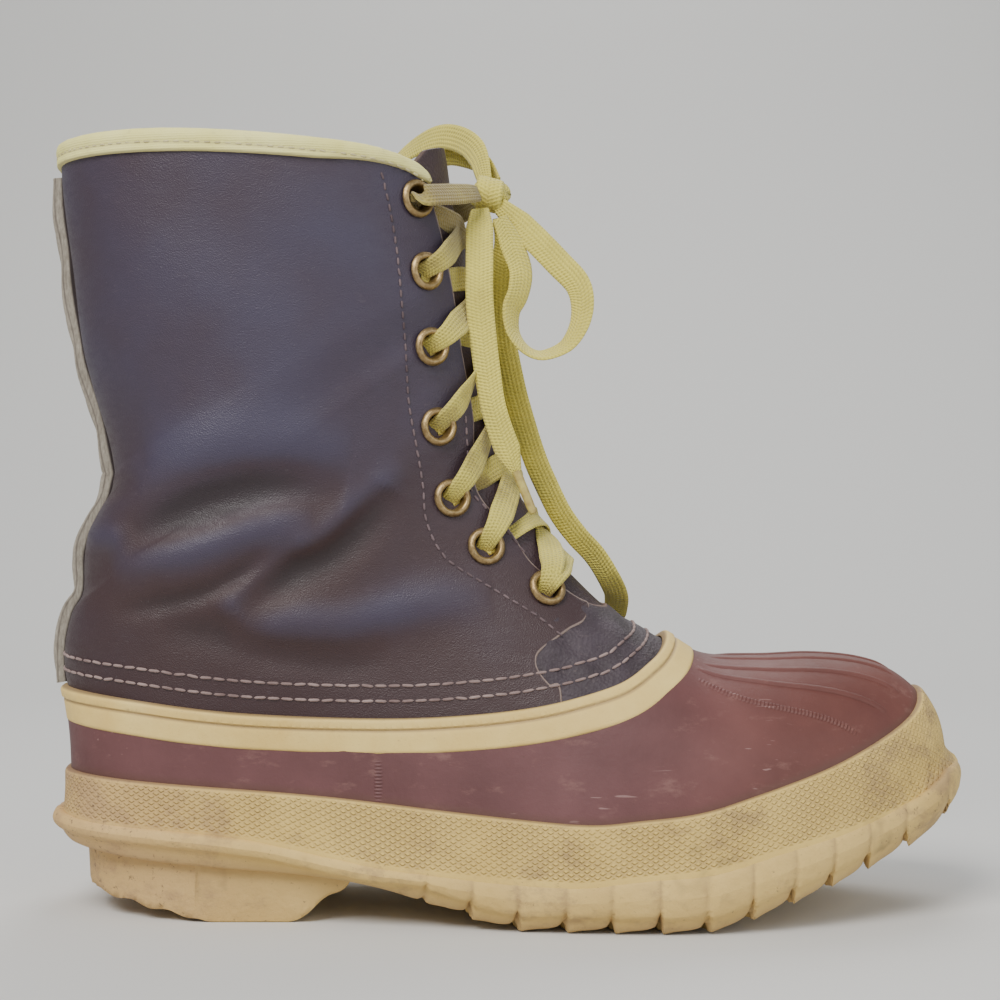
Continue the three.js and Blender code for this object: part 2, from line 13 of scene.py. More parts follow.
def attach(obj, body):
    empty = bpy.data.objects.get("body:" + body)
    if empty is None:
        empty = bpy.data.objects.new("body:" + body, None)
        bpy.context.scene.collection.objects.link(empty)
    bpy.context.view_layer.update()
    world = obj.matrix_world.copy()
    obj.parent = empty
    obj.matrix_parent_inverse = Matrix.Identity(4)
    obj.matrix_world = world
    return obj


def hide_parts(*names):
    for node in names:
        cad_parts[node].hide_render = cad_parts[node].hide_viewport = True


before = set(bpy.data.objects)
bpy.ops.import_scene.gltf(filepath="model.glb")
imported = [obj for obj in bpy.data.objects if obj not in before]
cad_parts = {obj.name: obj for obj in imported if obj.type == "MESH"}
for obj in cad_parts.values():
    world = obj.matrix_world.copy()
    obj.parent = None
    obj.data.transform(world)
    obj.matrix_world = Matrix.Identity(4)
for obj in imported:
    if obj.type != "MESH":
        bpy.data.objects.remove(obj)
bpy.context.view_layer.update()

# Camera, floor and light. The camera is level with the middle of the boot and looks square at the
# boot's outer side. A pale sheet is the floor and runs up behind the boot.
scene = bpy.context.scene
camera = bpy.data.objects.new("camera", bpy.data.cameras.new("camera"))
scene.collection.objects.link(camera)
scene.camera = camera
camera.location = (-0.00345, -0.6479, 0.134)
camera.rotation_euler = (math.pi / 2, 0, 0)
camera.data.lens = 69.84
camera.data.sensor_width = 36


def mesh_object(name, points, faces, sharp=40, **layers):
    """A mesh of those points and faces, smooth but for edges sharper than that many degrees, with a
    float layer on its points for each keyword."""
    mesh = bpy.data.meshes.new(name)
    mesh.from_pydata(np.asarray(points).tolist(), [], np.asarray(faces).tolist())
    mesh.shade_smooth()
    mesh.set_sharp_from_angle(angle=math.radians(sharp))
    for layer, values in layers.items():
        mesh.attributes.new(layer, "FLOAT", "POINT").data.foreach_set(
            "value", np.broadcast_to(values, len(points)).astype(np.float32)
        )
    made = bpy.data.objects.new(name, mesh)
    scene.collection.objects.link(made)
    return made


def sheet_faces(rows, columns, closed=False):
    """Quads of a grid of rows by columns of points, numbered row by row; closed joins the last
    column to the first."""
    i, j = np.meshgrid(np.arange(rows - 1), np.arange(columns - (not closed)), indexing="ij")
    here, after = i * columns + j, i * columns + (j + 1) % columns
    return np.stack([here, after, after + columns, here + columns], -1).reshape(-1, 4)


class Wire:
    """A socket of a material's nodes. Arithmetic on it adds Math nodes, and node() adds any other
    kind."""

    def __init__(self, tree, socket):
        self.tree, self.socket = tree, socket

    def node(self, kind, settings, inputs, output=0):
        made = self.tree.nodes.new("ShaderNode" + kind)
        for name, value in settings.items():
            setattr(made, name, value)
        for name, value in inputs.items():
            if isinstance(value, Wire):
                self.tree.links.new(value.socket, made.inputs[name])
            else:
                made.inputs[name].default_value = value
        return Wire(self.tree, made.outputs[output])

    def math(self, operation, *values):
        return self.node("Math", {"operation": operation}, dict(enumerate(values)))

    def __add__(self, other):
        return self.math("ADD", self, other)

    def __radd__(self, other):
        return self.math("ADD", other, self)

    def __sub__(self, other):
        return self.math("SUBTRACT", self, other)

    def __rsub__(self, other):
        return self.math("SUBTRACT", other, self)

    def __mul__(self, other):
        return self.math("MULTIPLY", self, other)

    def __rmul__(self, other):
        return self.math("MULTIPLY", other, self)

    def __truediv__(self, other):
        return self.math("DIVIDE", self, other)

    def step(self, low, high):
        """0 below low and 1 above high, with a soft change between them; it falls if low is above
        high."""
        return self.node(
            "MapRange", {"interpolation_type": "SMOOTHSTEP"}, {0: self, 1: low, 2: high}
        )

    def noise(self, scale, detail=4, roughness=0.55):
        """Noise of about 0 to 1 over a point, with that many waves in a metre."""
        return self.node(
            "TexNoise", {}, {"Vector": self, "Scale": scale, "Detail": detail, "Roughness": roughness}
        )

    def cells(self, scale):
        """Distance to the nearest point of a scatter."""
        return self.node("TexVoronoi", {}, {"Vector": self, "Scale": scale})

    def axis(self, number):
        """One coordinate of a point: 0, 1 or 2."""
        return self.node("SeparateXYZ", {}, {0: self}, number)

    def band(self, low, full_from, full_to, high):
        """1 from full_from to full_to, falling softly to 0 at low and high."""
        return self.step(low, full_from) * self.step(high, full_to)

    def folded(self):
        """A zigzag between 0 and 0.5 that repeats with each whole number."""
        return self.math("PINGPONG", self, 0.5)

    def stretched(self, x, y, z):
        return self.node("Mapping", {}, {"Vector": self, "Scale": (x, y, z)})

    def layer(self, name):
        """The float layer of that name on the mesh's points."""
        return self.node("Attribute", {"attribute_name": name}, {}, 2)

    def mixed(self, first, second):
        """first where this factor is 0 and second where it is 1; each is a colour."""
        inputs = {0: self}
        for place, colour in ((6, first), (7, second)):
            inputs[place] = colour if isinstance(colour, Wire) else (*colour, 1)
        return self.node("Mix", {"data_type": "RGBA", "clamp_factor": True}, inputs, 2)

    def spread(self, amount):
        """Noise pulled apart about its middle and held between 0 and 1."""
        settings = {"operation": "ADD", "use_clamp": True}
        return self.node("Math", settings, {0: (self - 0.5) * amount, 1: 0.5})


def material(name):
    """A new material: itself, its Object coordinates as a wire, and the function that sets its
    shader's inputs."""
    made = bpy.data.materials.new(name)
    made.use_nodes = True
    tree = made.node_tree
    shader = tree.nodes["Principled BSDF"]
    point = Wire(tree, tree.nodes.new("ShaderNodeTexCoord").outputs["Object"])

    def surface(colour, roughness, relief=None, depth=0.0005, **others):
        inputs = {"Base Color": colour, "Roughness": roughness, **others}
        if relief is not None:
            bump = {"Height": relief, "Distance": depth, "Strength": 1.0}
            inputs["Normal"] = point.node("Bump", {}, bump)
        for socket, value in inputs.items():
            if isinstance(value, Wire):
                tree.links.new(value.socket, shader.inputs[socket])
            else:
                shader.inputs[socket].default_value = (*value, 1) if isinstance(value, tuple) else value

    return made, point, surface


backdrop_turn = np.linspace(0, math.pi / 2, 16)
backdrop = np.array(
    [(-1.5, 0), (0.7, 0)]
    + [(0.7 + 0.6 * math.sin(a), 0.6 - 0.6 * math.cos(a)) for a in backdrop_turn[1:]]
    + [(1.3, 2.5)]
)
floor_points = np.stack(
    [np.array([[x, y, z - 0.0002] for x in (-2.5, 2.5)]) for y, z in backdrop]
)
floor = mesh_object("floor", floor_points.reshape(-1, 3), sheet_faces(len(backdrop), 2))
paper, point, surface = material("pale floor")
surface((0.62, 0.61, 0.59), 0.9)
floor.data.materials.append(paper)

scene.world = bpy.data.worlds.new("studio")
scene.world.use_nodes = True
scene.world.node_tree.nodes["Background"].inputs["Color"].default_value = (0.9, 0.95, 1.0, 1)
scene.world.node_tree.nodes["Background"].inputs["Strength"].default_value = 0.46
for name, place, size, power, tint in (
    ("key", (-0.55, -1.0, 1.25), 0.8, 29, (1.0, 0.98, 0.95)),
    ("fill", (1.1, -0.9, 0.6), 1.2, 8, (0.93, 0.97, 1.0)),
    ("rim", (0.2, 0.9, 1.2), 0.8, 9, (1.0, 1.0, 1.0)),
):
    lamp = bpy.data.objects.new(name, bpy.data.lights.new(name, "AREA"))
    scene.collection.objects.link(lamp)
    lamp.location = place
    lamp.rotation_euler = (Vector((0, 0, 0.11)) - Vector(place)).to_track_quat("-Z", "Y").to_euler()
    lamp.data.size, lamp.data.energy, lamp.data.color = size, power, tint

# The leather shaft: two quarters of waxed dark brown leather, 2.2 mm thick, joined down the back
# and sewn to the rubber foot under its band. The front edges carry seven eyelets each side and
# lie over the tongue and the vamp patch. It has been worn: the ankle is full of soft creases.
length, height, ball, shaft = 0.300, 0.250, 0.100, 0.094
origin = np.array([0.0019, 0.0021, 0.0])
foot_sections = [
    [0.474, 0.184, 0.474, 0.184, 0.065, 0, 0.5, 2.6, 2.2],
    [0.466, 0.128, 0.466, 0.232, 0.065, 0.1, 0.5, 2.6, 2.2],
    [0.457, 0.1, 0.457, 0.258, 0.062, 0.165, 0.47, 3, 2.2],
    [0.44, 0.068, 0.44, 0.284, 0.055, 0.235, 0.45, 3.4, 2.2],
    [0.413, 0.036, 0.413, 0.306, 0.042, 0.305, 0.42, 4, 2.2],
    [0.377, 0, 0.377, 0.319, 0.026, 0.37, 0.4, 4.5, 2.2],
    [0.327, -0.032, 0.327, 0.324, 0.008, 0.43, 0.4, 5, 2.2],
    [0.267, -0.048, 0.267, 0.322, -0.008, 0.475, 0.42, 5, 2.2],
    [0.207, -0.056, 0.207, 0.326, -0.018, 0.498, 0.42, 5, 2.2],
    [0.14, -0.056, 0.163, 0.353, -0.023, 0.5, 0.4, 5, 2.2],
    [0.06, -0.056, 0.12, 0.384, -0.028, 0.485, 0.38, 5, 2.2],
    [-0.033, -0.056, 0.088, 0.414, -0.032, 0.45, 0.35, 5, 2.2],
    [-0.14, -0.056, 0.06, 0.452, -0.034, 0.41, 0.34, 5, 2.3],
    [-0.25, -0.056, 0.033, 0.5, -0.02, 0.385, 0.36, 5, 2.4],
    [-0.35, -0.056, 0.013, 0.546, -0.008, 0.375, 0.4, 4.4, 2.4],
]
shaft_sections = [
    [-0.427, -0.04, -0.001, 0.588, 0, 0.4, 0.43, 3.6, 2.4],
    [-0.47, 0.012, -0.011, 0.624, 0, 0.405, 0.45, 3, 2.3],
    [-0.487, 0.08, -0.018, 0.656, 0, 0.41, 0.46, 2.7, 2.3],
    [-0.488, 0.168, -0.023, 0.684, 0, 0.418, 0.47, 2.5, 2.3],
    [-0.49, 0.24, -0.027, 0.708, 0, 0.427, 0.48, 2.4, 2.2],
    [-0.5, 0.32, -0.032, 0.74, 0, 0.435, 0.49, 2.3, 2.2],
    [-0.492, 0.38, -0.035, 0.764, 0, 0.44, 0.5, 2.3, 2.2],
    [-0.479, 0.412, -0.037, 0.78, 0, 0.443, 0.5, 2.3, 2.2],
    [-0.476, 0.472, -0.04, 0.798, 0, 0.447, 0.5, 2.3, 2.1],
    [-0.449, 0.554, -0.045, 0.828, 0, 0.458, 0.5, 2.3, 2.1],
    [-0.446, 0.588, -0.047, 0.842, 0, 0.462, 0.5, 2.3, 2.1],
    [-0.467, 0.684, -0.054, 0.882, 0, 0.476, 0.5, 2.3, 2.1],
    [-0.481, 0.754, -0.058, 0.908, 0, 0.484, 0.5, 2.3, 2.1],
    [-0.498, 0.908, -0.068, 0.962, 0, 0.5, 0.5, 2.3, 2.1],
    [-0.503, 0.98, -0.072, 0.99, 0, 0.505, 0.5, 2.3, 2.1],
    [-0.505, 1.04, -0.078, 1.04, 0, 0.508, 0.5, 2.3, 2.1],
]
ring_count, row_steps = 260, 13


def unit(vectors):
    """Vectors along the last axis, made one long."""
    return vectors / np.linalg.norm(vectors, axis=-1, keepdims=True)


def distances(line):
    """How far along a line each of its points is."""
    return np.concatenate([[0], np.cumsum(np.linalg.norm(np.diff(line, axis=0), axis=1))])


def gathered(parts):
    """Several bodies, each of points and faces, as one."""
    starts = np.cumsum([0] + [len(part[0]) for part in parts])
    faces = [part[1] + start for part, start in zip(parts, starts)]
    return np.vstack([part[0] for part in parts]), np.vstack(faces)


def through(table, steps):
    """Rows of a table joined by a smooth curve through them all, with that many rows for each gap."""
    table = np.asarray(table, float)
    t = np.linspace(0, len(table) - 1, (len(table) - 1) * steps + 1)
    i = np.minimum(t.astype(int), len(table) - 2)
    f = (t - i)[:, None]
    padded = np.vstack([2 * table[0] - table[1], table, 2 * table[-1] - table[-2]])
    a, b, c, d = padded[i], padded[i + 1], padded[i + 2], padded[i + 3]
    return b + f / 2 * (c - a + f * (2 * a - 5 * b + 4 * c - d + f * (3 * (b - c) + d - a)))


def spaced(points, count, closed=False):
    """Points moved to equal distances along the line that they make."""
    steps = np.linalg.norm(np.diff(points, axis=0), axis=1)
    along = np.concatenate([[0], np.cumsum(steps + 1e-12)])
    places = np.linspace(0, along[-1], count + closed)[:count]
    return np.stack([np.interp(places, along, column) for column in points.T], 1)


def boot_form():
    """The boot's outer surface as a grid of points and outward normals. Each row is a rounded-
    square ring from the sole over the outer side, the instep and the inner side: how far it is
    up the ring's slanted axis goes with the cosine of the angle and how far across with its
    sine, each to the power that squares the ring's lower or upper half."""
    table = np.vstack(
        [
            np.array(foot_sections) * [length, height, length, height, ball, ball, 1, 1, 1],
            np.array(shaft_sections) * [length, height, length, height, shaft, shaft, 1, 1, 1],
        ]
    )
    columns = through(table, row_steps).T[:, :, None]
    sole_x, sole_z, top_x, top_z, middle, half, widest, low, high = columns
    angle = np.linspace(0, 2 * math.pi, 1441)[None]
    rise, sway = -np.cos(angle), np.sin(angle)
    power = 2 / np.where(rise < 0, low, high)
    share = np.where(
        rise < 0, widest * (1 - np.abs(rise) ** power), widest + (1 - widest) * np.abs(rise) ** power
    )
    across = np.sign(sway) * np.abs(sway) ** power
    rings = np.stack(
        [
            sole_x + share * (top_x - sole_x), middle - across * half,
            sole_z + share * (top_z - sole_z),
        ], -1
    )
    points = np.stack([spaced(ring, ring_count, closed=True) for ring in rings]) + origin
    around = np.roll(points, -1, 1) - np.roll(points, 1, 1)
    normals = np.cross(around, np.gradient(points, axis=0))
    size = np.linalg.norm(normals, axis=-1, keepdims=True)
    normals = np.where(size > 1e-12, normals / np.maximum(size, 1e-12), [1.0, 0, 0])
    return points, normals


form, form_normals = boot_form()
form_faces = sheet_faces(len(form), ring_count, closed=True)
form_triangles = np.vstack([form_faces[:, [0, 1, 2]], form_faces[:, [0, 2, 3]]])


def side_line(*places):
    """A smooth line of the side view through places given as shares of the boot's length and
    height, back to front."""
    return through(np.array(places) * [length, height] + origin[[0, 2]], 10)


def beside(line, points):
    """Distance of points from a line of two columns, positive on its left, and how far along the
    line each one is."""
    start, run = line[:-1], np.diff(line, axis=0)
    size = (run**2).sum(1)
    before = np.concatenate([[0], np.cumsum(np.sqrt(size))])[:-1]
    distance, along = np.empty(len(points)), np.empty(len(points))
    for first in range(0, len(points), 6000):
        part = points[first : first + 6000, None] - start
        share = np.clip((part * run).sum(-1) / size, 0, 1)
        gap = part - share[..., None] * run
        nearest = (gap**2).sum(-1).argmin(1)
        row = np.arange(len(nearest))
        gap, part = gap[row, nearest], part[row, nearest]
        sign = np.sign(run[nearest, 0] * part[:, 1] - run[nearest, 1] * part[:, 0])
        distance[first : first + 6000] = np.linalg.norm(gap, axis=1) * sign
        along[first : first + 6000] = before[nearest] + share[row, nearest] * np.sqrt(size[nearest])
    return distance, along


def divided(data, faces, field, keep_all=False):
    """Triangles cut along the line where field is zero. New points are set on their edges by linear
    interpolation of all columns of data. Keeps the side where field is positive, or both sides."""
    inside = field > 0
    count = inside[faces].sum(1)
    mixed = faces[(count == 1) | (count == 2)]
    if len(mixed) == 0:
        return data, faces[(count == 3) | keep_all]
    one = (inside[mixed].sum(1) == 1)[:, None]
    lone = (inside[mixed] == one).argmax(1)
    corner = np.take_along_axis(mixed, (lone[:, None] + np.arange(3)) % 3, 1)
    pairs = np.sort(np.concatenate([corner[:, [0, 1]], corner[:, [0, 2]]]), axis=1)
    unique, index = np.unique(pairs[:, 0] * len(data) + pairs[:, 1], return_inverse=True)
    a, b = unique // len(data), unique % len(data)
    share = (field[a] / (field[a] - field[b]))[:, None]
    first, second = (len(data) + index).reshape(2, -1)
    data = np.vstack([data, data[a] + (data[b] - data[a]) * share])
    tip = np.stack([corner[:, 0], first, second], 1)
    near, far = [first, corner[:, 1], corner[:, 2]], [first, corner[:, 2], second]
    rest = np.stack([np.stack(near, 1), np.stack(far, 1)], 1)
    keep_tip = one[:, 0] | keep_all
    keep_rest = ~one[:, 0] | keep_all
    whole = faces[(count == 3) | ((count == 0) & keep_all)]
    return data, np.vstack([whole, tip[keep_tip], rest[keep_rest].reshape(-1, 3)])


def patch(edge, hidden=(), lines=(), also=()):
    """The part of the boot's surface where edge and every hidden field are positive, in metres.
    Rows of its data hold point, normal, edge and the fields of also. Extra lines run at those
    distances from the edge, or are (column, distance) of another field."""
    columns = [np.asarray(f)[:, None] for f in (edge, *also, *hidden)]
    data = np.hstack([form.reshape(-1, 3), form_normals.reshape(-1, 3), *columns])
    faces = form_triangles
    for i in [6, *range(7 + len(also), 7 + len(also) + len(hidden))]:
        data, faces = divided(data, faces, data[:, i])
    for line in lines:
        column, distance = line if isinstance(line, tuple) else (6, line)
        data, faces = divided(data, faces, data[:, column] - distance, keep_all=True)
    used, faces = np.unique(faces, return_inverse=True)
    data = data[used]
    data[:, 3:6] = unit(data[:, 3:6])
    return data, faces.reshape(-1, 3)


def joined(over, under, faces):
    """Points and faces of a body between two sheets with the same faces, closed round their open
    edges."""
    count = len(over)
    edges = np.vstack([faces[:, [0, 1]], faces[:, [1, 2]], faces[:, [2, 0]]])
    open_edge = ~np.isin(edges[:, 0] * count + edges[:, 1], edges[:, 1] * count + edges[:, 0])
    a, b = edges[open_edge].T
    rim = np.vstack([np.stack([b, a, a + count], 1), np.stack([b, a + count, b + count], 1)])
    return np.vstack([over, under]), np.vstack([faces, faces[:, ::-1] + count, rim])


def walled(data, faces, outer, inner):
    """Points and faces of a wall between two distances out along the normals, closed round every
    open edge."""
    place, normal = data[:, :3], data[:, 3:6]
    outer, inner = (np.broadcast_to(h, len(data))[:, None] for h in (outer, inner))
    return joined(place + normal * outer, place + normal * inner, faces)


def rounded(distance, radius):
    """Height of a quarter circle of radius 1 at a distance from its foot: 0 at the edge and 1 from
    the radius on."""
    share = np.clip(distance / radius, 0, 1)
    return np.sqrt(1 - (1 - share) ** 2)


grid_points = form.reshape(-1, 3)
grid_side = grid_points[:, [0, 2]]
collar_line = side_line(
    (-0.56, 1.002), (-0.37, 1.001), (-0.21, 0.99), (-0.15, 0.984), (-0.11, 0.972), (-0.09, 0.956),
    (-0.07, 0.94),
)
throat_line = side_line(
    (-0.105, 1.06), (-0.094, 0.95), (-0.078, 0.873), (-0.066, 0.8), (-0.057, 0.725), (-0.045, 0.64),
    (-0.0427, 0.553), (-0.005, 0.4956), (0.018, 0.455), (0.06, 0.417), (0.08, 0.405), (0.1, 0.4),
)
quarter_edge = side_line(
    (0.045, 0.12), (0.047, 0.29), (0.034, 0.305), (0.024, 0.32), (0.0207, 0.332), (0.024, 0.344),
    (0.042, 0.36), (0.057, 0.372), (0.073, 0.382), (0.08, 0.399), (0.077, 0.415), (0.09, 0.46),
)
band_top = side_line(
    (-0.56, 0.3), (-0.42, 0.284), (-0.3, 0.268), (-0.18, 0.261), (-0.08, 0.263), (0.02, 0.276),
    (0.1, 0.3), (0.138, 0.326), (0.157, 0.346), (0.165, 0.37), (0.168, 0.4), (0.168, 0.46),
)
band_height, band_thickness = 0.0115, 0.0022
over_collar = beside(collar_line, grid_side)[0]
before_throat = beside(throat_line, grid_side)[0]
behind_edge = beside(quarter_edge, grid_side)[0]
over_band = beside(band_top, grid_side)[0]

eyelet_places = [
    (-0.107, 0.92), (-0.095, 0.828), (-0.091, 0.732), (-0.083, 0.631), (-0.067, 0.538),
    (-0.032, 0.475), (0.032, 0.421),
]
eyelet_hole = 0.0039
sides = {"outer": -1, "inner": 1}


def grid_place(x, z, side):
    """Row and column in the form's grid of the point of one side, -1 outer or 1 inner, that shows
    at x and z."""
    gap = np.hypot(form[..., 0] - x, form[..., 2] - z) + 9 * (form_normals[..., 1] * side < 0.1)
    return np.unravel_index(gap.argmin(), gap.shape)


def at(row, column):
    """Point and normal of the form at fractions of its rows and columns."""
    i, j = np.floor(row).astype(int), np.floor(column).astype(int)
    f, g = (row - i)[..., None], (column - j)[..., None]
    mixed = []
    for table in (form, form_normals):
        low = table[i, j % ring_count] * (1 - g) + table[i, (j + 1) % ring_count] * g
        high = table[i + 1, j % ring_count] * (1 - g) + table[i + 1, (j + 1) % ring_count] * g
        mixed.append(low * (1 - f) + high * f)
    return mixed[0], unit(mixed[1])


eyelets = {
    (name, i + 1): grid_place(x * length + origin[0], z * height, side)
    for name, side in sides.items()
    for i, (x, z) in enumerate(eyelet_places)
}
eyelet_centres = np.array([form[place] for place in eyelets.values()])

# Creases: a line of the side view in millimetres, the side it is on, its half width and its
# depth, negative where the leather stands out in a ridge
leather_creases = [
    ([(-127, 121), (-106, 130), (-84, 137), (-68, 138.5), (-54, 136)], -1, 8, 2.9),
    ([(-118, 146), (-96, 151), (-74, 153), (-52, 150)], -1, 10, -1.5),
    ([(-129, 98), (-98, 105), (-79, 115.5), (-69, 121)], -1, 3.4, 1.7),
    ([(-130, 112), (-100, 119.5), (-80, 126), (-64, 128)], -1, 6, -1.9),
    ([(-95, 98), (-84, 107), (-74, 117), (-62, 122), (-47, 136), (-36, 145)], -1, 4.5, -2.0),
    ([(-88, 100), (-70, 112), (-57, 119), (-47, 129), (-41, 138)], -1, 7, 2.9),
    ([(-92, 91), (-72, 95), (-52, 96), (-26, 102), (-8, 104)], -1, 7, -1.9),
    ([(-114, 92), (-98, 92.5), (-78, 86), (-58, 82.5), (-40, 83)], -1, 6, 1.7),
    ([(-142, 134), (-131, 138), (-120, 139)], -1, 4, 1.3),
    ([(-143, 124), (-134, 122), (-122, 124)], -1, 4, -1.0),
    ([(-116, 127), (-96, 133), (-76, 138), (-60, 139), (-48, 137)], 1, 9, 2.4),
    ([(-136, 99), (-116, 103), (-96, 111), (-78, 123)], 1, 4, 1.6),
    ([(-104, 116), (-82, 123), (-60, 125), (-44, 123)], 1, 7, -1.1),
    ([(-100, 101), (-78, 102), (-60, 109), (-48, 119)], 1, 6, 2.2),
    ([(-140, 132), (-124, 137), (-108, 139)], 1, 4, 1.2),
    ([(-110, 88), (-84, 86), (-54, 90), (-30, 98)], 1, 8, -1.6),
]


def leather_relief(points):
    """How far worn leather stands out from the form at points: a bell curve across each crease that
    fades at its ends."""
    relief = np.zeros(len(points))
    for line, side, width, depth in leather_creases:
        curve = through(np.array(line) / 1000 + origin[[0, 2]], 8)
        near = np.nonzero(points[:, 1] * side > 0)[0]
        distance, along = beside(curve, points[near][:, [0, 2]])
        fade = np.sin(np.clip(along / distances(curve)[-1], 0, 1) * math.pi) ** 0.6
        relief[near] -= depth / 1000 * fade * np.exp(-((distance * 1000 / width) ** 2))
    x, z = points[:, 0], points[:, 2]
    sway = np.sin(x * 95 + 1.3 * np.sin(z * 60)) * np.sin(z * 75 + 2 * np.sign(points[:, 1]))
    return relief + 0.0004 * sway


leather_wall, tucked_under_band = 0.0022, 0.006
edge = np.minimum(-before_throat, behind_edge)
holes = np.min(
    [np.linalg.norm(grid_points - centre, axis=1) for centre in eyelet_centres], axis=0
) - (eyelet_hole + 0.0003)
data, faces = patch(
    edge, hidden=(over_band + tucked_under_band, -over_collar - 0.0008, holes), lines=(0.0003, 0.0009),
    also=(over_band, -over_collar),
)
from_edge, from_band, from_collar = data[:, 6:9].T
relief = leather_relief(data) * rounded(from_band, 0.012) * rounded(from_collar, 0.012)
relief = relief * rounded(from_edge, 0.015)
turned_in = 1 - rounded(from_edge, 0.0009)
points, wall_faces = walled(
    data, faces, relief - 0.0006 * turned_in, relief - leather_wall + 0.0003 * turned_in
)
quarters = mesh_object(
    "shaft_leather", points, wall_faces, edge=np.tile(from_edge, 2), crease=np.tile(relief, 2),
    inside=np.repeat([0.0, 1.0], len(data)),
)
leather, point, surface = material("waxed brown leather")
grain = point.cells(2300) * 0.7 + point.noise(1600, 3) * 0.6
patchy = point.noise(19, 3).spread(2.6)
scuff = point.stretched(1, 1, 2.5).noise(140, 6, 0.7)
height_up = point.axis(2)
crease = point.layer("crease")
# The leather's tone runs from brown to a painted violet sheen. This is a painted sky reflection laid on the crease
# ridges and up the higher shaft, mixed with random patches of tone.
brown, painted_sheen_violet = (0.036, 0.015, 0.016), (0.042, 0.034, 0.064)
sheen = patchy * 0.30 + crease.step(-0.0006, 0.0018) * 0.45 + height_up.step(0.09, 0.19) * 0.42
tone = sheen.step(0.15, 0.95).mixed(brown, painted_sheen_violet)
# Painted shade: the deepest crease troughs are darkened to near black.
tone = (crease.step(-0.0004, -0.0026) * 0.75).mixed(tone, (0.012, 0.006, 0.007))
tone = (scuff.step(0.6, 0.78) * 0.22).mixed(tone, (0.14, 0.115, 0.13))
tone = (point.noise(800, 4, 0.7).step(0.66, 0.74) * 0.35).mixed(tone, (0.16, 0.14, 0.15))
cut_edge = point.layer("edge").step(0.0008, 0.0003)
tone = (cut_edge * 0.85).mixed(tone, (0.34, 0.25, 0.21))
tone = point.layer("inside").mixed(tone, (0.16, 0.10, 0.065))
surface(tone, 0.46 + scuff.step(0.4, 0.8) * 0.22, grain + scuff * 0.6, 0.00015)
quarters.data.materials.append(leather)
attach(quarters, "root")
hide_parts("quarters")

# The vamp patch: a rougher piece of the same leather let in under the front edge of the quarters.
# It fills the corner between them and the rubber toe, and its top edge is the foot of the throat.
data, faces = patch(
    -before_throat, hidden=(0.005 - behind_edge, over_band + tucked_under_band), lines=(0.0003, 0.0009),
    also=(over_band,),
)
x, y, z = data[:, :3].T
wrinkles = 0.0005 * np.sin(x * 520 + z * 300) * np.sin(z * 410 - y * 90)
sink = -0.0005 + wrinkles * rounded(data[:, 7], 0.01) * rounded(data[:, 6], 0.004)
outer = sink - 0.0006 * (1 - rounded(data[:, 6], 0.0009))
points, wall_faces = walled(data, faces, outer, sink - 0.0016)
vamp = mesh_object("vamp_patch", points, wall_faces, edge=np.tile(data[:, 6], 2))
rough_leather, point, surface = material("scuffed brown leather")
grain = point.cells(900) * 0.8 + point.noise(500, 5, 0.7)
scrape = point.stretched(1, 1, 2).noise(260, 5, 0.7)
tone = point.noise(60, 4).spread(2.5).mixed((0.022, 0.012, 0.015), (0.058, 0.040, 0.052))
tone = (scrape.step(0.58, 0.78) * 0.45).mixed(tone, (0.17, 0.13, 0.125))
tone = (point.layer("edge").step(0.0009, 0.0002) * 0.8).mixed(tone, (0.22, 0.14, 0.11))
surface(tone, 0.62, grain, 0.0003)
vamp.data.materials.append(rough_leather)
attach(vamp, "root")
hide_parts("vamp")

# The tongue: one soft piece of dark brown leather behind the lacing, wider than the throat, so
# that its sides lie inside the quarters. Its rounded top stands just over the collar, and the
# lace presses folds into it.
tongue_heights = np.array([0.3, 0.35, 0.4, 0.5, 0.6, 0.8, 0.9, 0.97, 0.992, 0.999, 1.01]) * height
tongue_halves = np.array([0.24, 0.24, 0.3, 0.38, 0.38, 0.36, 0.33, 0.29, 0.23, 0.16, -0.05]) * shaft
tongue_middle = origin[1]
half_tongue = np.interp(grid_points[:, 2], tongue_heights, tongue_halves)
edge = half_tongue - np.abs(grid_points[:, 1] - tongue_middle)
data, faces = patch(
    edge, hidden=(before_throat + 0.03, grid_points[:, 2] - 0.088), lines=(0.0004, 0.001, 0.002)
)
x, y, z = data[:, :3].T
bulge = 1 - np.clip(np.abs(y - tongue_middle) / 0.03, 0, 1) ** 2
folds = np.sin(z * 262 + 1.2 * np.sin(y * 120) + 0.6 * np.sin(z * 90)) * 0.0006
folds = folds + np.sin(y * 230 + z * 40) * 0.0004
middle_depth = -0.0036 + (folds + 0.0006) * bulge
half_wall = 0.0010 * rounded(data[:, 6], 0.0012)
points, wall_faces = walled(data, faces, middle_depth + half_wall, middle_depth - half_wall)
tongue = mesh_object("tongue_leather", points, wall_faces, edge=np.tile(data[:, 6], 2))
soft_leather, point, surface = material("soft dark leather")
pebble = point.cells(1100) + point.noise(700, 3) * 0.5
tone = point.noise(40, 4).spread(2).mixed((0.030, 0.014, 0.016), (0.062, 0.036, 0.042))
tone = (point.layer("edge").step(0.0012, 0.0003) * 0.6).mixed(tone, (0.11, 0.065, 0.045))
surface(tone, 0.55, pebble, 0.00022)
tongue.data.materials.append(soft_leather)
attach(tongue, "root")
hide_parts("tongue")

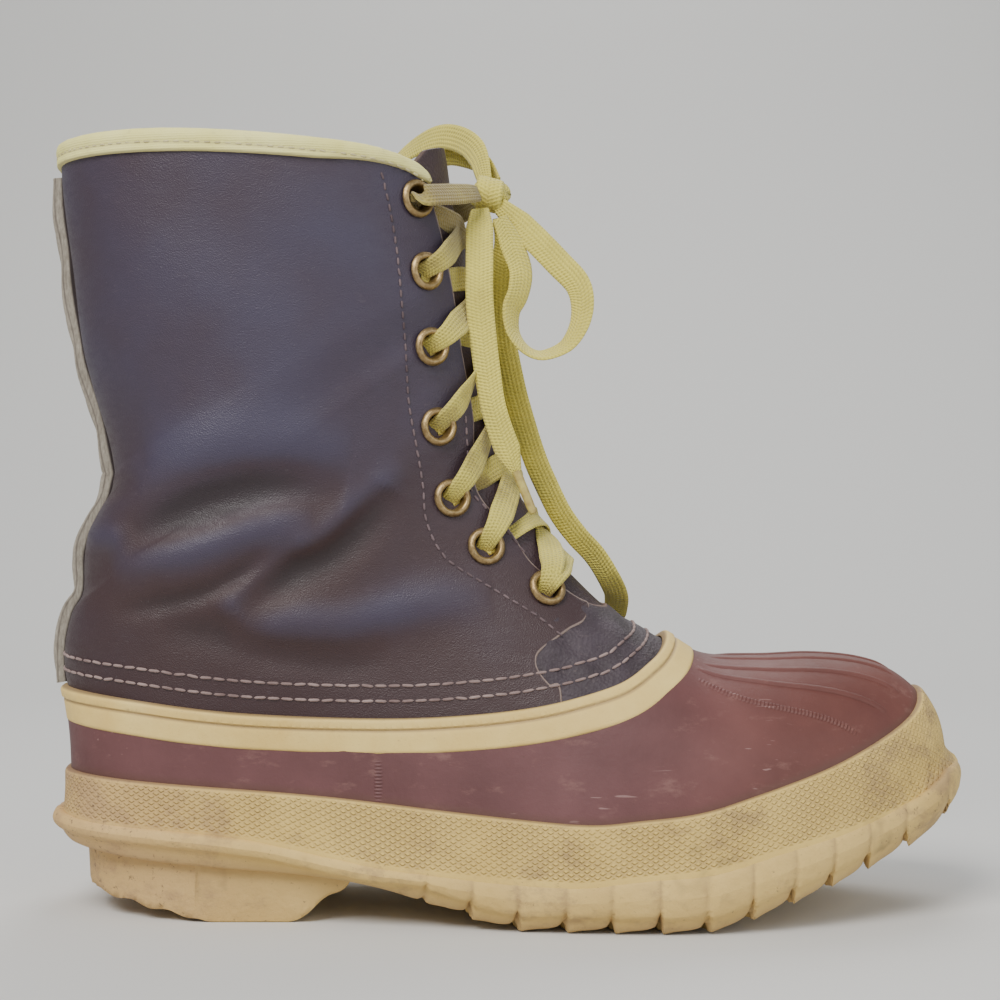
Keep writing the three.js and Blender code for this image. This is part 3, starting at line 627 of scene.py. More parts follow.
# The collar binding: cream woven tape folded over the top edge of the shaft, sewn through with
# one row of stitches, and tapering out at the front corners.
tape_height = np.interp(
    grid_points[:, 0],
    np.array([-0.37, -0.21, -0.15, -0.11, -0.09, -0.07]) * length + origin[0],
    np.array([1, 0.9, 0.7, 0.6, 0.4, 0.3]) * 0.0075,
)
data, faces = patch(
    np.minimum(tape_height + over_collar, -before_throat + 0.0002), hidden=(-over_collar,),
    lines=(0.0004, 0.001, (7, 0.0005), (7, 0.0012), (7, 0.0024), (7, 0.0042), (7, 0.0048)),
    also=(-over_collar,),
)
top, low_edge = data[:, 7], data[:, 6]
fold = 0.0025 * rounded(top, 0.0025)
wave = 0.00018 * np.sin(data[:, 0] * 700) * np.sin(data[:, 1] * 500)
groove = 0.00035 * np.exp(-(((top - 0.0045) / 0.0005) ** 2))
outer = -0.0011 + fold + wave - groove - 0.0010 * (1 - rounded(low_edge, 0.001))
points, wall_faces = walled(data, faces, outer, -0.0011 - fold)
binding = mesh_object("binding_tape", points, wall_faces, top=np.tile(top, 2), edge=np.tile(low_edge, 2))
tape, point, surface = material("cream woven tape")
ribs = {"Vector": point, "Scale": 420.0, "Distortion": 1.5, "Detail": 2.0}
weave = point.node("TexWave", {"bands_direction": "Z"}, ribs, 1)
fuzz = point.noise(1800, 3)
tone = point.noise(45, 4).spread(2).mixed((0.72, 0.66, 0.21), (0.83, 0.78, 0.33))
thread_groove = point.layer("top").band(0.0040, 0.0047, 0.0048, 0.0056)
tone = (thread_groove * 0.5).mixed(tone, (0.33, 0.28, 0.13))
tone = (point.noise(120, 5, 0.7).step(0.58, 0.74) * 0.45).mixed(tone, (0.40, 0.34, 0.19))
tone = (point.layer("edge").step(0.0011, 0.0002) * 0.5).mixed(tone, (0.45, 0.38, 0.2))
surface(tone, 0.85, weave * 0.5 + fuzz, 0.00012)
binding.data.materials.append(tape)
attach(binding, "root")
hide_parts("collar_binding")

# The back seam: the raw edges of the two quarters, sewn together and standing almost 5 mm proud
# up the back, from the rubber band to the binding. They have dried to a pale grey and waver a
# little.
back_rows = np.array([
    row for row in np.linspace(14 * row_steps, len(form) - 2, 240)
    if 0.0735 < at(np.array([row]), np.array([0.0]))[0][0, 2] < 0.2425
])
back_points, back_normals = at(back_rows, np.zeros(len(back_rows)))
profile = through(
    [
        (-2.1, -0.6), (-1.6, 0.6), (-1.4, 2.4), (-1.35, 4.1), (-0.9, 4.75), (-0.4, 4.6), (0, 3.7),
        (0.4, 4.6), (0.9, 4.8), (1.35, 4.1), (1.4, 2.4), (1.6, 0.6), (2.1, -0.6),
    ], 3
) / 1000
sway = 0.0004 * np.sin(back_points[:, 2] * 130) + 0.0002 * np.sin(back_points[:, 2] * 410)
proud = profile[:, 1] * (1 + 0.12 * np.sin(back_points[:, 2:] * 230 + profile[:, 0] * 900))
proud = proud + leather_relief(back_points)[:, None]
seam = back_points[:, None] + back_normals[:, None] * proud[..., None]
seam[..., 1] = back_points[:, 1:2] + sway[:, None] + profile[:, 0]
caps = [ring.mean(0) + (ring - ring.mean(0)) * 0.02 for ring in (seam[0], seam[-1])]
seam = np.concatenate([caps[0][None], seam, caps[1][None]])
back_seam = mesh_object(
    "back_seam_edges", seam.reshape(-1, 3), sheet_faces(len(seam), len(profile), closed=True)[:, ::-1],
    out=np.tile(profile[:, 1], len(seam)),
)
raw_edge, point, surface = material("raw leather edge")
fibre = point.stretched(1, 1, 0.25).noise(1500, 4, 0.7)
tone = fibre.spread(1.8).mixed((0.15, 0.125, 0.10), (0.42, 0.38, 0.31))
tone = point.layer("out").step(0.0020, 0.0010).mixed(tone, (0.018, 0.010, 0.010))
split = point.layer("out").band(0.0034, 0.0037, 0.0038, 0.0043)
tone = (split * 0.5).mixed(tone, (0.05, 0.035, 0.03))
surface(tone, 0.9, fibre, 0.0003)
back_seam.data.materials.append(raw_edge)
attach(back_seam, "root")
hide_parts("back_seam")

# The top band: a tan rubber strip in two steps that closes the rubber foot against the leather.
# It runs all the way round and rises to a rounded point over the instep.
data, faces = patch(
    np.minimum(-over_band, over_band + band_height), also=(-over_band,),
    lines=(0.0002, 0.0005, 0.001, 0.0016, (7, 0.0032), (7, 0.0038), (7, 0.0044)),
)
under = data[:, 7]
joint = 0.0005 * np.exp(-(((data[:, 0] + 0.0415) / 0.0012) ** 2))
second_step = 0.0005 * np.clip((under - 0.0032) / 0.0008, 0, 1)
height_out = 0.0003 + band_thickness * rounded(data[:, 6], 0.0013) - second_step
groove = 0.0004 * np.exp(-(((under - 0.0038) / 0.0005) ** 2))
dents = 0.00025 * np.sin(data[:, 0] * 210 + data[:, 1] * 90) * np.sin(data[:, 0] * 83)
outer = height_out - groove + (joint + dents) * rounded(data[:, 6], 0.003)
points, wall_faces = walled(data, faces, outer, 0.0)
top_band = mesh_object(
    "band_rubber", points, wall_faces, under=np.tile(under, 2), edge=np.tile(data[:, 6], 2)
)
tan_rubber, point, surface = material("tan rubber")
mottle = point.noise(38, 5, 0.6)
tone = mottle.spread(2.2).mixed((0.64, 0.43, 0.115), (0.78, 0.58, 0.205))
crack = point.stretched(1, 1, 3).noise(700, 5, 0.75)
tone = (crack.step(0.60, 0.72) * 0.55).mixed(tone, (0.30, 0.19, 0.10))
# Darker along the groove between the band's two steps.
darker_groove_line = point.layer("under").band(0.0030, 0.0037, 0.0040, 0.0048)
tone = (darker_groove_line * 0.65).mixed(tone, (0.25, 0.16, 0.085))
tone = (point.layer("edge").step(0.0008, 0.0001) * 0.75).mixed(tone, (0.16, 0.095, 0.06))
tone = (point.noise(14, 3).step(0.55, 0.7) * 0.3).mixed(tone, (0.45, 0.29, 0.16))
grime = point.stretched(1, 1, 1.5).noise(55, 6, 0.75)
tone = (grime.step(0.60, 0.72) * 0.45).mixed(tone, (0.22, 0.14, 0.09))
surface(tone, 0.55 + mottle * 0.2, point.noise(300, 5, 0.6), 0.0002)
top_band.data.materials.append(tan_rubber)
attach(top_band, "root")
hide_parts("top_band")

# The rubber shell: the red-brown moulded shoe under the leather, 3 mm thick. Ridges run forward
# over the toe, two of them hatched, and a hatched rib on each side marks the joint of its halves.
sole_top = side_line(
    (-0.56, 0.134), (-0.37, 0.12), (-0.27, 0.107), (-0.19, 0.088), (-0.11, 0.073), (0.05, 0.062),
    (0.12, 0.07), (0.2, 0.08), (0.27, 0.102), (0.35, 0.125), (0.42, 0.152), (0.455, 0.172),
    (0.48, 0.186), (0.56, 0.19),
)
foxing_top = side_line(
    (-0.56, 0.187), (-0.42, 0.182), (-0.22, 0.165), (-0.06, 0.146), (0.065, 0.135), (0.13, 0.141),
    (0.19, 0.15), (0.25, 0.17), (0.325, 0.198), (0.385, 0.228), (0.43, 0.258), (0.446, 0.288),
    (0.452, 0.33), (0.453, 0.4),
)
over_sole = beside(sole_top, grid_side)[0]
over_foxing = beside(foxing_top, grid_side)[0]
data, faces = patch(0.0015 - over_band - band_height, hidden=(over_sole + 0.002,), also=(over_foxing,))
x, y, z = data[:, :3].T
swell = 0.0004 * np.sin(x * 41 + 0.5) * np.sin(z * 120 + y * 30)
shell_points, shell_faces = walled(data, faces, 0.0015 + swell, -0.0015)
shell_tree = BVHTree.FromPolygons(shell_points.tolist(), shell_faces.tolist())


def landed(tree, starts, towards):
    """Points and outward normals where lines of sight from starts meet a surface, without those
    that miss it."""
    sights = [(tree.ray_cast(Vector(a), Vector(b)), b) for a, b in zip(starts, towards)]
    sights = [(hit, b) for hit, b in sights if hit[0] is not None]
    places = np.array([hit[0] for hit, b in sights])
    normals = np.array([hit[1] for hit, b in sights])
    facing = -np.sign((normals * np.array([b for hit, b in sights])).sum(1, keepdims=True))
    return places, normals * facing


def ridge(places, normals, width, proud, hatch):
    """A bar with a round top along places: a half circle of height across, faded at both ends;
    hatch cuts waves of that many metres' pitch into its top."""
    run = unit(np.gradient(places, axis=0))
    across = np.cross(normals, run)
    along = distances(places)
    fade = np.sqrt(np.clip(np.minimum(along, along[-1] - along) / (2 * width), 0, 1))
    turn = np.linspace(0, math.pi, 11)
    cut = 1 - 0.45 * (0.5 + 0.5 * np.cos(2 * math.pi * along / hatch)) if hatch else np.ones(len(along))
    rise = proud * (fade * cut)[:, None] * np.sin(turn) - 0.0003
    sideways = across[:, None] * (width / 2 * np.cos(turn))[None, :, None]
    bar = places[:, None] + sideways + normals[:, None] * rise[..., None]
    return bar.reshape(-1, 3), sheet_faces(len(places), len(turn))


bars = []
for line, hatch in (
    ([(0.2, 0.19), (0.3, 0.18), (0.42, 0.17)], 0),
    ([(0.19, 0.28), (0.26, 0.335), (0.37, 0.33)], 0.0012),
    ([(0.2, -0.19), (0.3, -0.18), (0.42, -0.14)], 0),
    ([(0.19, -0.3), (0.26, -0.345), (0.365, -0.33)], 0.0012),
    ([(0.22, 0.02), (0.32, 0.03), (0.42, 0.035)], 0),
    ([(0.19, -0.245), (0.29, -0.262), (0.4, -0.235)], 0),
    ([(0.19, 0.235), (0.29, 0.262), (0.395, 0.255)], 0),
    ([(0.21, -0.09), (0.31, -0.08), (0.42, -0.05)], 0),
):
    plan = spaced(through(np.array(line) * [length, ball] + origin[:2], 12), 220)
    starts = np.column_stack([plan, np.full(len(plan), 0.3)])
    places, normals = landed(shell_tree, starts, np.tile([0, 0, -1.0], (len(plan), 1)))
    bars.append(ridge(places, normals, 0.0028, 0.0009, hatch))
for side in sides.values():
    rise = np.linspace(0.037, 0.0545, 90)
    starts = np.column_stack([np.full(len(rise), -0.0416), np.full(len(rise), side * 0.2), rise])
    places, normals = landed(shell_tree, starts, np.tile([0, -side, 0.0], (len(rise), 1)))
    bars.append(ridge(places, normals, 0.0032, 0.0007, 0.0011))
bars = [(p, np.vstack([f[:, [0, 1, 2]], f[:, [0, 2, 3]]])) for p, f in bars]
points, faces = gathered([(shell_points, shell_faces), *bars])
far = np.full(len(points) - len(shell_points), 0.02)
near_foxing = np.concatenate([np.tile(data[:, 7], 2), far])
rubber_shell = mesh_object("rubber_shoe", points, faces, foxing=near_foxing)
brown_rubber, point, surface = material("red-brown rubber")
mottle = point.noise(26, 5, 0.6)
forward = point.axis(0).step(0.02, 0.11)
tone = mottle.spread(2.2).mixed((0.085, 0.027, 0.027), (0.145, 0.055, 0.056))
rust = mottle.spread(2.2).mixed((0.095, 0.022, 0.013), (0.155, 0.043, 0.026))
tone = (forward * 0.75).mixed(tone, rust)
bloom = point.stretched(1, 1, 2.2).noise(90, 6, 0.7)
tone = (bloom.step(0.55, 0.75) * 0.25).mixed(tone, (0.36, 0.20, 0.165))
lengthwise = {"Vector": point, "Rotation": (0.0, 0.35, 0.0), "Scale": (0.05, 1.0, 1.0)}
scratch = point.node("Mapping", {}, lengthwise).noise(900, 2, 0.4)
scratched = scratch.step(0.70, 0.76) * point.noise(12, 2).step(0.5, 0.6)
tone = (scratched * 0.4).mixed(tone, (0.42, 0.26, 0.24))
tone = (point.noise(420, 4, 0.7).step(0.66, 0.74) * 0.5).mixed(tone, (0.09, 0.04, 0.03))
tone = (point.layer("foxing").step(0.0032, 0.0) * 0.55).mixed(tone, (0.10, 0.045, 0.03))
surface(tone, 0.46 + bloom * 0.28, point.noise(500, 5, 0.6), 0.00012)
rubber_shell.data.materials.append(brown_rubber)
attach(rubber_shell, "root")
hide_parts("rubber_shell")

# The foxing: a tan rubber strip vulcanised round the foot over the edge of the shell, with a
# moulded pattern of small diamonds. It flares to the lip of the outsole and is dirtiest at heel
# and toe.
low_points = grid_points[grid_points[:, 2] < 0.09]
turn = np.arctan2(low_points[:, 1], low_points[:, 0])
reach = np.zeros(720)
sector = ((turn + math.pi) / (2 * math.pi) * 719.999).astype(int)
np.maximum.at(reach, sector, np.hypot(low_points[:, 0], low_points[:, 1]))
reach = np.convolve(np.concatenate([reach[-4:], reach, reach[:4]]), np.full(9, 1 / 9), "valid")
turn = np.linspace(-math.pi, math.pi, 721)
outline = np.stack([np.cos(turn), np.sin(turn)], 1) * np.append(reach, reach[0])[:, None]


def eased(value, low, high):
    """0 below low and 1 above high, with a soft change between them."""
    share = np.clip((value - low) / (high - low), 0, 1)
    return share * share * (3 - 2 * share)


def lip_out(x):
    """How far the outsole's lip stands out from the form: 4.4 mm, growing to 8 mm at the toe."""
    return 0.0044 + 0.0036 * eased(x, 0.116, 0.144)


data, faces = patch(
    -over_foxing, hidden=(over_sole + 0.001,), also=(over_sole,),
    lines=(0.0003, 0.0008, 0.0015, (7, 0.0012), (7, 0.0024), (7, 0.0036)),
)
up = data[:, 7]
around = beside(outline, data[:, :2])[1]
flare = np.clip(1 - up / 0.0065, 0, 1) ** 2 * (lip_out(data[:, 0]) - 0.0040)
outer = 0.0018 + (0.0014 + flare) * rounded(data[:, 6], 0.0016)
points, wall_faces = walled(data, faces, outer, 0.0012)
foxing = mesh_object(
    "foxing_strip", points, wall_faces, around=np.tile(around, 2), up=np.tile(up, 2),
    edge=np.tile(data[:, 6], 2),
)


def dirty_tan(point, tone):
    """Tan rubber as it wears: speckled dirt, darker smears at the heel and toe, all worked into a
    colour."""
    x, z = point.axis(0), point.axis(2)
    smear = point.stretched(1, 1, 1.6).noise(48, 6, 0.72)
    ends = x.step(-0.08, -0.145) * 0.10 + x.step(0.09, 0.14) * 0.09
    tone = ((smear + ends).step(0.52, 0.70) * 0.6).mixed(tone, (0.30, 0.19, 0.10))
    tone = (x.step(-0.06, -0.14) * 0.45).mixed(tone, (0.52, 0.31, 0.16))
    speck = point.noise(520, 5, 0.75)
    tone = ((speck + ends * 0.6).step(0.62, 0.72) * 0.75).mixed(tone, (0.13, 0.085, 0.055))
    stain = point.stretched(1, 1, 0.8).noise(21, 4, 0.7)
    return (stain.step(0.62, 0.72) * z.step(0.055, 0.03) * 0.55).mixed(tone, (0.10, 0.07, 0.05))


textured_rubber, point, surface = material("textured tan rubber")
pitch_along, pitch_up = 0.0032, 0.0021
along, up = point.layer("around") / pitch_along, point.layer("up") / pitch_up
first, second = (along + up).folded(), (along - up).folded()
diamond = first.step(0.08, 0.30) * second.step(0.08, 0.30)
plain = point.layer("edge").step(0.0006, 0.0014) * point.layer("up").step(0.0008, 0.0018)
worn = point.noise(40, 4).step(0.25, 0.6)
mottle = point.noise(30, 5, 0.6)
tone = mottle.spread(2.2).mixed((0.60, 0.405, 0.105), (0.76, 0.54, 0.16))
tone = ((1 - diamond) * plain * worn * 0.40).mixed(tone, (0.33, 0.205, 0.095))
tone = dirty_tan(point, tone)
tone = (point.layer("edge").step(0.0009, 0.0002) * 0.7).mixed(tone, (0.17, 0.09, 0.055))
surface(tone, 0.72, diamond * plain * (worn * 0.6 + 0.4) + point.noise(900, 3) * 0.25, 0.00055)
foxing.data.materials.append(textured_rubber)
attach(foxing, "root")
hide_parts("foxing")

# The outsole: one tan rubber moulding. Its lip runs round under the foxing; below are wavy bars
# across the forefoot, a plain arched shank and a heel block set in from the lip, worn off at the
# back corner.
spacing = 0.00125
xs, ys = np.arange(-0.158, 0.162, spacing), np.arange(-0.064, 0.0645, spacing)
plan = np.stack(np.meshgrid(xs, ys, indexing="ij"), -1).reshape(-1, 2)
plan_faces = sheet_faces(len(xs), len(ys))[:, ::-1]
plan_triangles = np.vstack([plan_faces[:, [0, 1, 2]], plan_faces[:, [0, 2, 3]]])
inside_outline = beside(outline, plan)[0]
plan_data = np.column_stack([plan, inside_outline, inside_outline + lip_out(plan[:, 0])])


def line_height(x, *places):
    """Height of a side view line, given in shares of length and height, over places along the boot."""
    line = side_line(*places)
    return np.interp(x, line[:, 0], line[:, 1])


heel_set_in = 0.0035 + 0.0038 * np.clip((-0.112 - plan[:, 0]) / 0.03, 0, 1)
heel_field = np.minimum(inside_outline - heel_set_in, -0.172 * length + origin[0] - plan[:, 0])
data = np.column_stack([plan_data, heel_field])
faces = plan_triangles
data, faces = divided(data, faces, data[:, 3])
for column, level in (
    (3, 0.0004), (3, 0.0010), (3, 0.0018), (3, 0.0030), (3, 0.0042), (3, 0.0052),
    (4, 0.0), (4, 0.0008), (4, 0.0018),
):
    data, faces = divided(data, faces, data[:, column] - level, keep_all=True)
used, faces = np.unique(faces, return_inverse=True)
data, faces = data[used], faces.reshape(-1, 3)
x, y, _, depth, heel_in = data.T


top_z = np.interp(x, sole_top[:, 0], sole_top[:, 1])
under_z = line_height(
    x, (-0.56, 0.104), (-0.475, 0.09), (-0.4, 0.08), (-0.3, 0.07), (-0.2, 0.06), (-0.14, 0.048),
    (-0.1, 0.034), (-0.05, 0.014), (0, 0), (0.06, 0), (0.12, 0), (0.19, 0), (0.235, 0.012),
    (0.27, 0.026), (0.33, 0.05), (0.4, 0.08), (0.45, 0.105), (0.5, 0.135), (0.56, 0.17),
)
under_z = np.maximum(under_z, 0)
lug_pitch, lug_depth = 0.0145, 0.0055
tread_x = np.linspace(-0.04, 0.17, 300)
tread_z = np.interp(tread_x, x[np.argsort(x)], under_z[np.argsort(x)])
tread_along = np.concatenate([[0], np.cumsum(np.hypot(np.diff(tread_x), np.diff(tread_z)))])
wave = 0.0022 * np.sin(y * 150) + 0.0014 * np.abs(y) / 0.05
phase = (np.interp(x, tread_x, tread_along) + wave) / lug_pitch
phase = phase + 0.10 * np.sin(2 * math.pi * phase)
saw = phase - np.floor(phase)
gap = 0.55 * saw**1.5 + 0.55 * np.exp(-(((saw - 1) / 0.09) ** 2)) + 0.9 * np.exp(-((saw / 0.05) ** 2))
gap = np.minimum(gap, 1.1)
middle_groove = 0.75 * np.exp(-(((y - 0.12 * x - 0.002) / 0.0022) ** 2))
gap = np.maximum(gap, middle_groove * eased(depth, 0.01, 0.016))
lugs = eased(x, -0.034, -0.018)
plain_z = under_z
under_z = under_z + lug_depth * gap * lugs
flush = plain_z + 0.0046 + 0.0022 * gap
lip_low = np.maximum(top_z - 0.0055, np.minimum(plain_z, top_z - 0.002))
lip_low = lip_low + (np.clip(flush, plain_z, top_z - 0.003) - lip_low) * eased(x, -0.05, -0.015)
body_z = lip_low + (under_z - lip_low) * eased(depth, 0.0018, 0.0052)
heel_z = line_height(
    x, (-0.56, 0.03), (-0.466, 0.029), (-0.456, 0.026), (-0.42, 0.02), (-0.37, 0.009), (-0.335, 0.001),
    (-0.325, 0), (-0.28, 0), (-0.24, 0), (-0.222, 0.01), (-0.2, 0.03), (-0.175, 0.053), (-0.165, 0.1),
)
heel_flat_x, heel_pitch = -0.083, 0.0125
scallop = 0.0011 * (0.5 + 0.5 * np.sin(x * 2 * math.pi / heel_pitch)) * eased(np.abs(x - heel_flat_x), 0.012, 0.02)
tread = 0.0022 * (1 - np.abs(np.sin(x * math.pi / heel_pitch + 0.6 * np.sin(y * 120)))) ** 2
tread = tread * eased(heel_in, 0.002, 0.008) * eased(np.abs(x - heel_flat_x), 0.012, 0.018)
heel_z = np.maximum(heel_z, 0) + scallop * eased(heel_in, 0.03, 0.0) + tread
heel_z = heel_z + 0.0008 * (1 - rounded(heel_in - 0.0008, 0.0012))
with_heel = body_z + (np.minimum(heel_z, body_z) - body_z) * eased(heel_in, 0, 0.0010)
body_z = np.where(heel_in > 0, with_heel, body_z)
lip_turn = rounded(depth, 0.0022)
middle_z = (top_z + lip_low) / 2
upper = top_z + (middle_z - top_z) * (1 - lip_turn)
lower = np.where(depth < 0.0022, middle_z + (body_z - middle_z) * lip_turn, body_z)
points, sole_faces = joined(
    np.column_stack([x, y, upper]), np.column_stack([x, y, lower]), faces[:, ::-1]
)
outsole = mesh_object(
    "outsole_rubber", points, sole_faces, 50, deep=np.tile(gap * lugs, 2), lip=np.tile(depth, 2)
)
sole_rubber, point, surface = material("worn tan sole rubber")
mottle = point.noise(30, 5, 0.6)
tone = mottle.spread(2.2).mixed((0.58, 0.39, 0.12), (0.74, 0.52, 0.18))
# Painted shade: the hollows between the tread lugs are darkened in step with their depth.
tone = (point.layer("deep") * 0.45).mixed(tone, (0.25, 0.16, 0.085))
# Painted shade: the sole's side wall under the overhanging lip is darkened.
painted_shade_under_lip = point.layer("lip").band(0.0026, 0.0045, 0.006, 0.012)
tone = (painted_shade_under_lip * 0.4).mixed(tone, (0.35, 0.22, 0.12))
surface(dirty_tan(point, tone), 0.75, point.noise(420, 5, 0.65), 0.0004)
outsole.data.materials.append(sole_rubber)
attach(outsole, "root")
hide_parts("outsole")

# The insole: a flat sole of grey-brown wool felt that lies loose on the bottom of the rubber
# foot.
data, faces = divided(plan_data, plan_triangles, plan_data[:, 2] - 0.0026)
for level in (0.0032, 0.0042):
    data, faces = divided(data, faces, data[:, 2] - level, keep_all=True)
used, faces = np.unique(faces, return_inverse=True)
x, y, inner, _ = data[used].T
floor_z = np.interp(x, sole_top[:, 0], sole_top[:, 1]) + 0.0003
felt_top = floor_z + 0.0030 + 0.0020 * rounded(inner - 0.0026, 0.0016)
heel_print = 0.0012 * np.exp(-(((x + 0.1) / 0.025) ** 2) - (y / 0.02) ** 2)
felt_top = felt_top + 0.0003 * np.sin(x * 300 + y * 200) * np.sin(y * 340) - heel_print
over, under = np.column_stack([x, y, felt_top]), np.column_stack([x, y, floor_z])
points, felt_faces = joined(over, under, faces.reshape(-1, 3)[:, ::-1])
insole = mesh_object("felt_insole", points, felt_faces)
felt, point, surface = material("wool felt")
fibre = point.noise(1300, 5, 0.75)
tone = point.noise(60, 4).spread(2).mixed((0.20, 0.165, 0.12), (0.31, 0.27, 0.21))
surface((fibre.step(0.6, 0.75) * 0.5).mixed(tone, (0.40, 0.36, 0.30)), 0.95, fibre, 0.0005)
insole.data.materials.append(felt)
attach(insole, "root")
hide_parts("insole")

# Eyelets: seven rolled metal rings up each front edge, once gilt and now dull. Each is a short
# tube through the leather with a round flange over it.
rim = through(
    [
        (3.5, -2.6), (3.8, -1.0), (3.95, 0.7), (4.25, 1.45), (4.75, 1.8), (5.3, 1.75), (5.85, 1.3),
        (6.2, 0.7), (6.15, 0.2), (5.2, 0.0), (4.3, 0.1), (4.1, -1.0), (3.9, -2.5), (3.5, -2.6),
    ], 2
) / 1000
brass, point, surface = material("dull gilt metal")
wear = point.noise(600, 5, 0.7)
tone = wear.spread(2.5).mixed((0.20, 0.125, 0.05), (0.47, 0.34, 0.165))
tone = (point.noise(1500, 3).step(0.6, 0.72) * 0.6).mixed(tone, (0.10, 0.07, 0.04))
surface(tone, 0.34 + wear * 0.2, wear, 0.0001, Metallic=0.9)
for (name, number), (row, column) in eyelets.items():
    centre, normal = form[row, column], form_normals[row, column]
    first = unit(np.cross(normal, [0, 0, 1.0]))
    second = np.cross(normal, first)
    turn = np.linspace(0, 2 * math.pi, 33)[:-1]
    spokes = first * np.cos(turn)[:, None] + second * np.sin(turn)[:, None]
    ring = centre + spokes[:, None] * rim[:, :1] + normal * rim[:, 1:]
    faces = sheet_faces(33, len(rim))
    faces = np.where(faces >= 32 * len(rim), faces - 32 * len(rim), faces)
    eyelet = mesh_object(f"eyelet_ring_{name}_{number}", ring.reshape(-1, 3), faces)
    eyelet.data.materials.append(brass)
    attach(eyelet, "root")
    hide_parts(f"eyelet_{name}_{number}")

# The stitching: two rows of heavy thread, faded to a dull pink-brown, all round the foot of the
# leather, a finer brown row along each eyelet facing and down the front edge, and a cream row
# through the binding.
leather_points, leather_faces = gathered([
    (np.array([v.co for v in o.data.vertices]), np.array([tuple(p.vertices) for p in o.data.polygons]))
    for o in (quarters, vamp)
])
leather_tree = BVHTree.FromPolygons(leather_points.tolist(), leather_faces.tolist())


def level_line(field, level):
    """Points and normals round the boot where field, seen from the collar, first falls under a
    level."""
    table = field.reshape(form.shape[:2]) - level
    row = len(table) - 1 - (table < 0)[::-1].argmax(0)
    row = np.minimum(row, len(table) - 2)
    column = np.arange(ring_count)
    low, high = table[row, column], table[row + 1, column]
    places, normals = at(row + np.clip(low / (low - high), 0, 1), column.astype(float))
    return np.vstack([places, places[:1]]), np.vstack([normals, normals[:1]])


def resampled(places, normals, pitch):
    """Places and normals at about that pitch along a line."""
    count = max(int(distances(places)[-1] / pitch), 2)
    both = spaced(np.hstack([places, normals / 1e6]), count)
    return both[:, :3], unit(both[:, 3:])


def seen_line(places, side, pitch):
    """Places and normals on the leather at about that pitch along a line of the side view, given in
    millimetres."""
    line = through(np.array(places) / 1000 + origin[[0, 2]], 10)
    starts = np.column_stack([line[:, 0], np.full(len(line), side * 0.2), line[:, 1]])
    return resampled(*landed(leather_tree, starts, np.tile([0, -side, 0.0], (len(line), 1))), pitch)


def stitch_mesh(rows, size, width, lift):
    """One long bead for each stitch: a ball drawn out along the row, with square-shouldered ends,
    half sunk in."""
    t, turn = np.meshgrid(np.linspace(-1, 1, 9), np.linspace(0, 2 * math.pi, 9)[:-1], indexing="ij")
    radius = np.clip(1 - t**4, 0, 1) ** 0.5
    half = radius * width / 2
    bead = np.stack([t * size / 2, half * np.cos(turn), half * np.sin(turn)], -1).reshape(-1, 3)
    bead_faces = sheet_faces(9, 8, closed=True)[:, ::-1]
    parts = []
    for places, normals in rows:
        run = unit(np.gradient(places, axis=0))
        across = np.cross(normals, run)
        rng = np.random.default_rng(len(parts) + 3)
        slant = rng.normal(0, 0.06, len(places))[:, None]
        run, across = run + across * slant, across - run * slant
        frames = np.stack([run, across, normals], 1)
        beads = places[:, None] + normals[:, None] * lift + bead @ frames
        faces = bead_faces + (np.arange(len(places)) * len(bead))[:, None, None]
        parts.append((beads.reshape(-1, 3), faces.reshape(-1, 4)))
    return gathered(parts)


def on_leather(places, normals):
    """Places moved along their normals to the leather, with those normals, without those that miss
    it by 6 mm."""
    hits = [leather_tree.ray_cast(Vector(p + n * 0.01), Vector(-n))[0] for p, n in zip(places, normals)]
    found = [
        i for i, hit in enumerate(hits) if hit is not None and (hit - Vector(places[i])).length < 0.006
    ]
    return np.array([hits[i] for i in found]), normals[found]


facing_line = [
    (-42.6, 236.5), (-40.3, 226.4), (-38, 212.5), (-36.7, 198.6), (-35.4, 182.5), (-34.4, 165.2),
    (-31.9, 150.6), (-30, 138.7), (-28.7, 126.8), (-22.6, 115.5), (-9.5, 106.8), (5.2, 97.9),
    (13.5, 91.5),
]
throat_row = [
    (-16.5, 160), (-15.6, 147), (-14.5, 137), (-9, 130.5), (-1.5, 122), (4.5, 115), (14.5, 107),
]
thread, point, surface = material("beige thread")
twine = point.noise(1500, 3)
tone = point.noise(90, 4).spread(2.2).mixed((0.15, 0.095, 0.09), (0.36, 0.265, 0.245))
surface(tone, 0.85, twine, 0.0002)
brown_thread, point, surface = material("brown thread")
surface(point.noise(60, 4).spread(2.6).mixed((0.040, 0.022, 0.026), (0.19, 0.135, 0.14)), 0.8)
cream_thread, point, surface = material("cream thread")
surface(point.noise(90, 4).spread(2.2).mixed((0.40, 0.34, 0.17), (0.62, 0.56, 0.30)), 0.85)
foot_pitch, facing_pitch, tape_pitch = 0.0042, 0.0033, 0.0032
foot_rows = [on_leather(*resampled(*level_line(over_band, level), foot_pitch)) for level in (0.0053, 0.0101)]
facing_rows = [
    seen_line(line, side, facing_pitch) for side in sides.values() for line in (facing_line, throat_row)
]
tape_places, tape_normals = resampled(*level_line(over_collar, -0.0045), tape_pitch)
tape_keep = beside(throat_line, tape_places[:, [0, 2]])[0] < -0.002
tape_rows = [(tape_places[tape_keep], tape_normals[tape_keep])]
for name, rows, sizes, look, node, slot in (
    ("foot_stitches", foot_rows, (0.0039, 0.0010, 0.0001), thread, "quarters", "leather"),
    ("facing_stitches", facing_rows, (0.0025, 0.0008, 0.0001), brown_thread, "quarters", "leather"),
    ("tape_stitches", tape_rows, (0.0022, 0.0008, 0.0010), cream_thread, "collar_binding", "binding"),
):
    points, faces = stitch_mesh(rows, *sizes)
    stitches = mesh_object(name, points, faces, 80)
    stitches.data.materials.append(look)
    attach(stitches, "root")
    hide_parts(node)

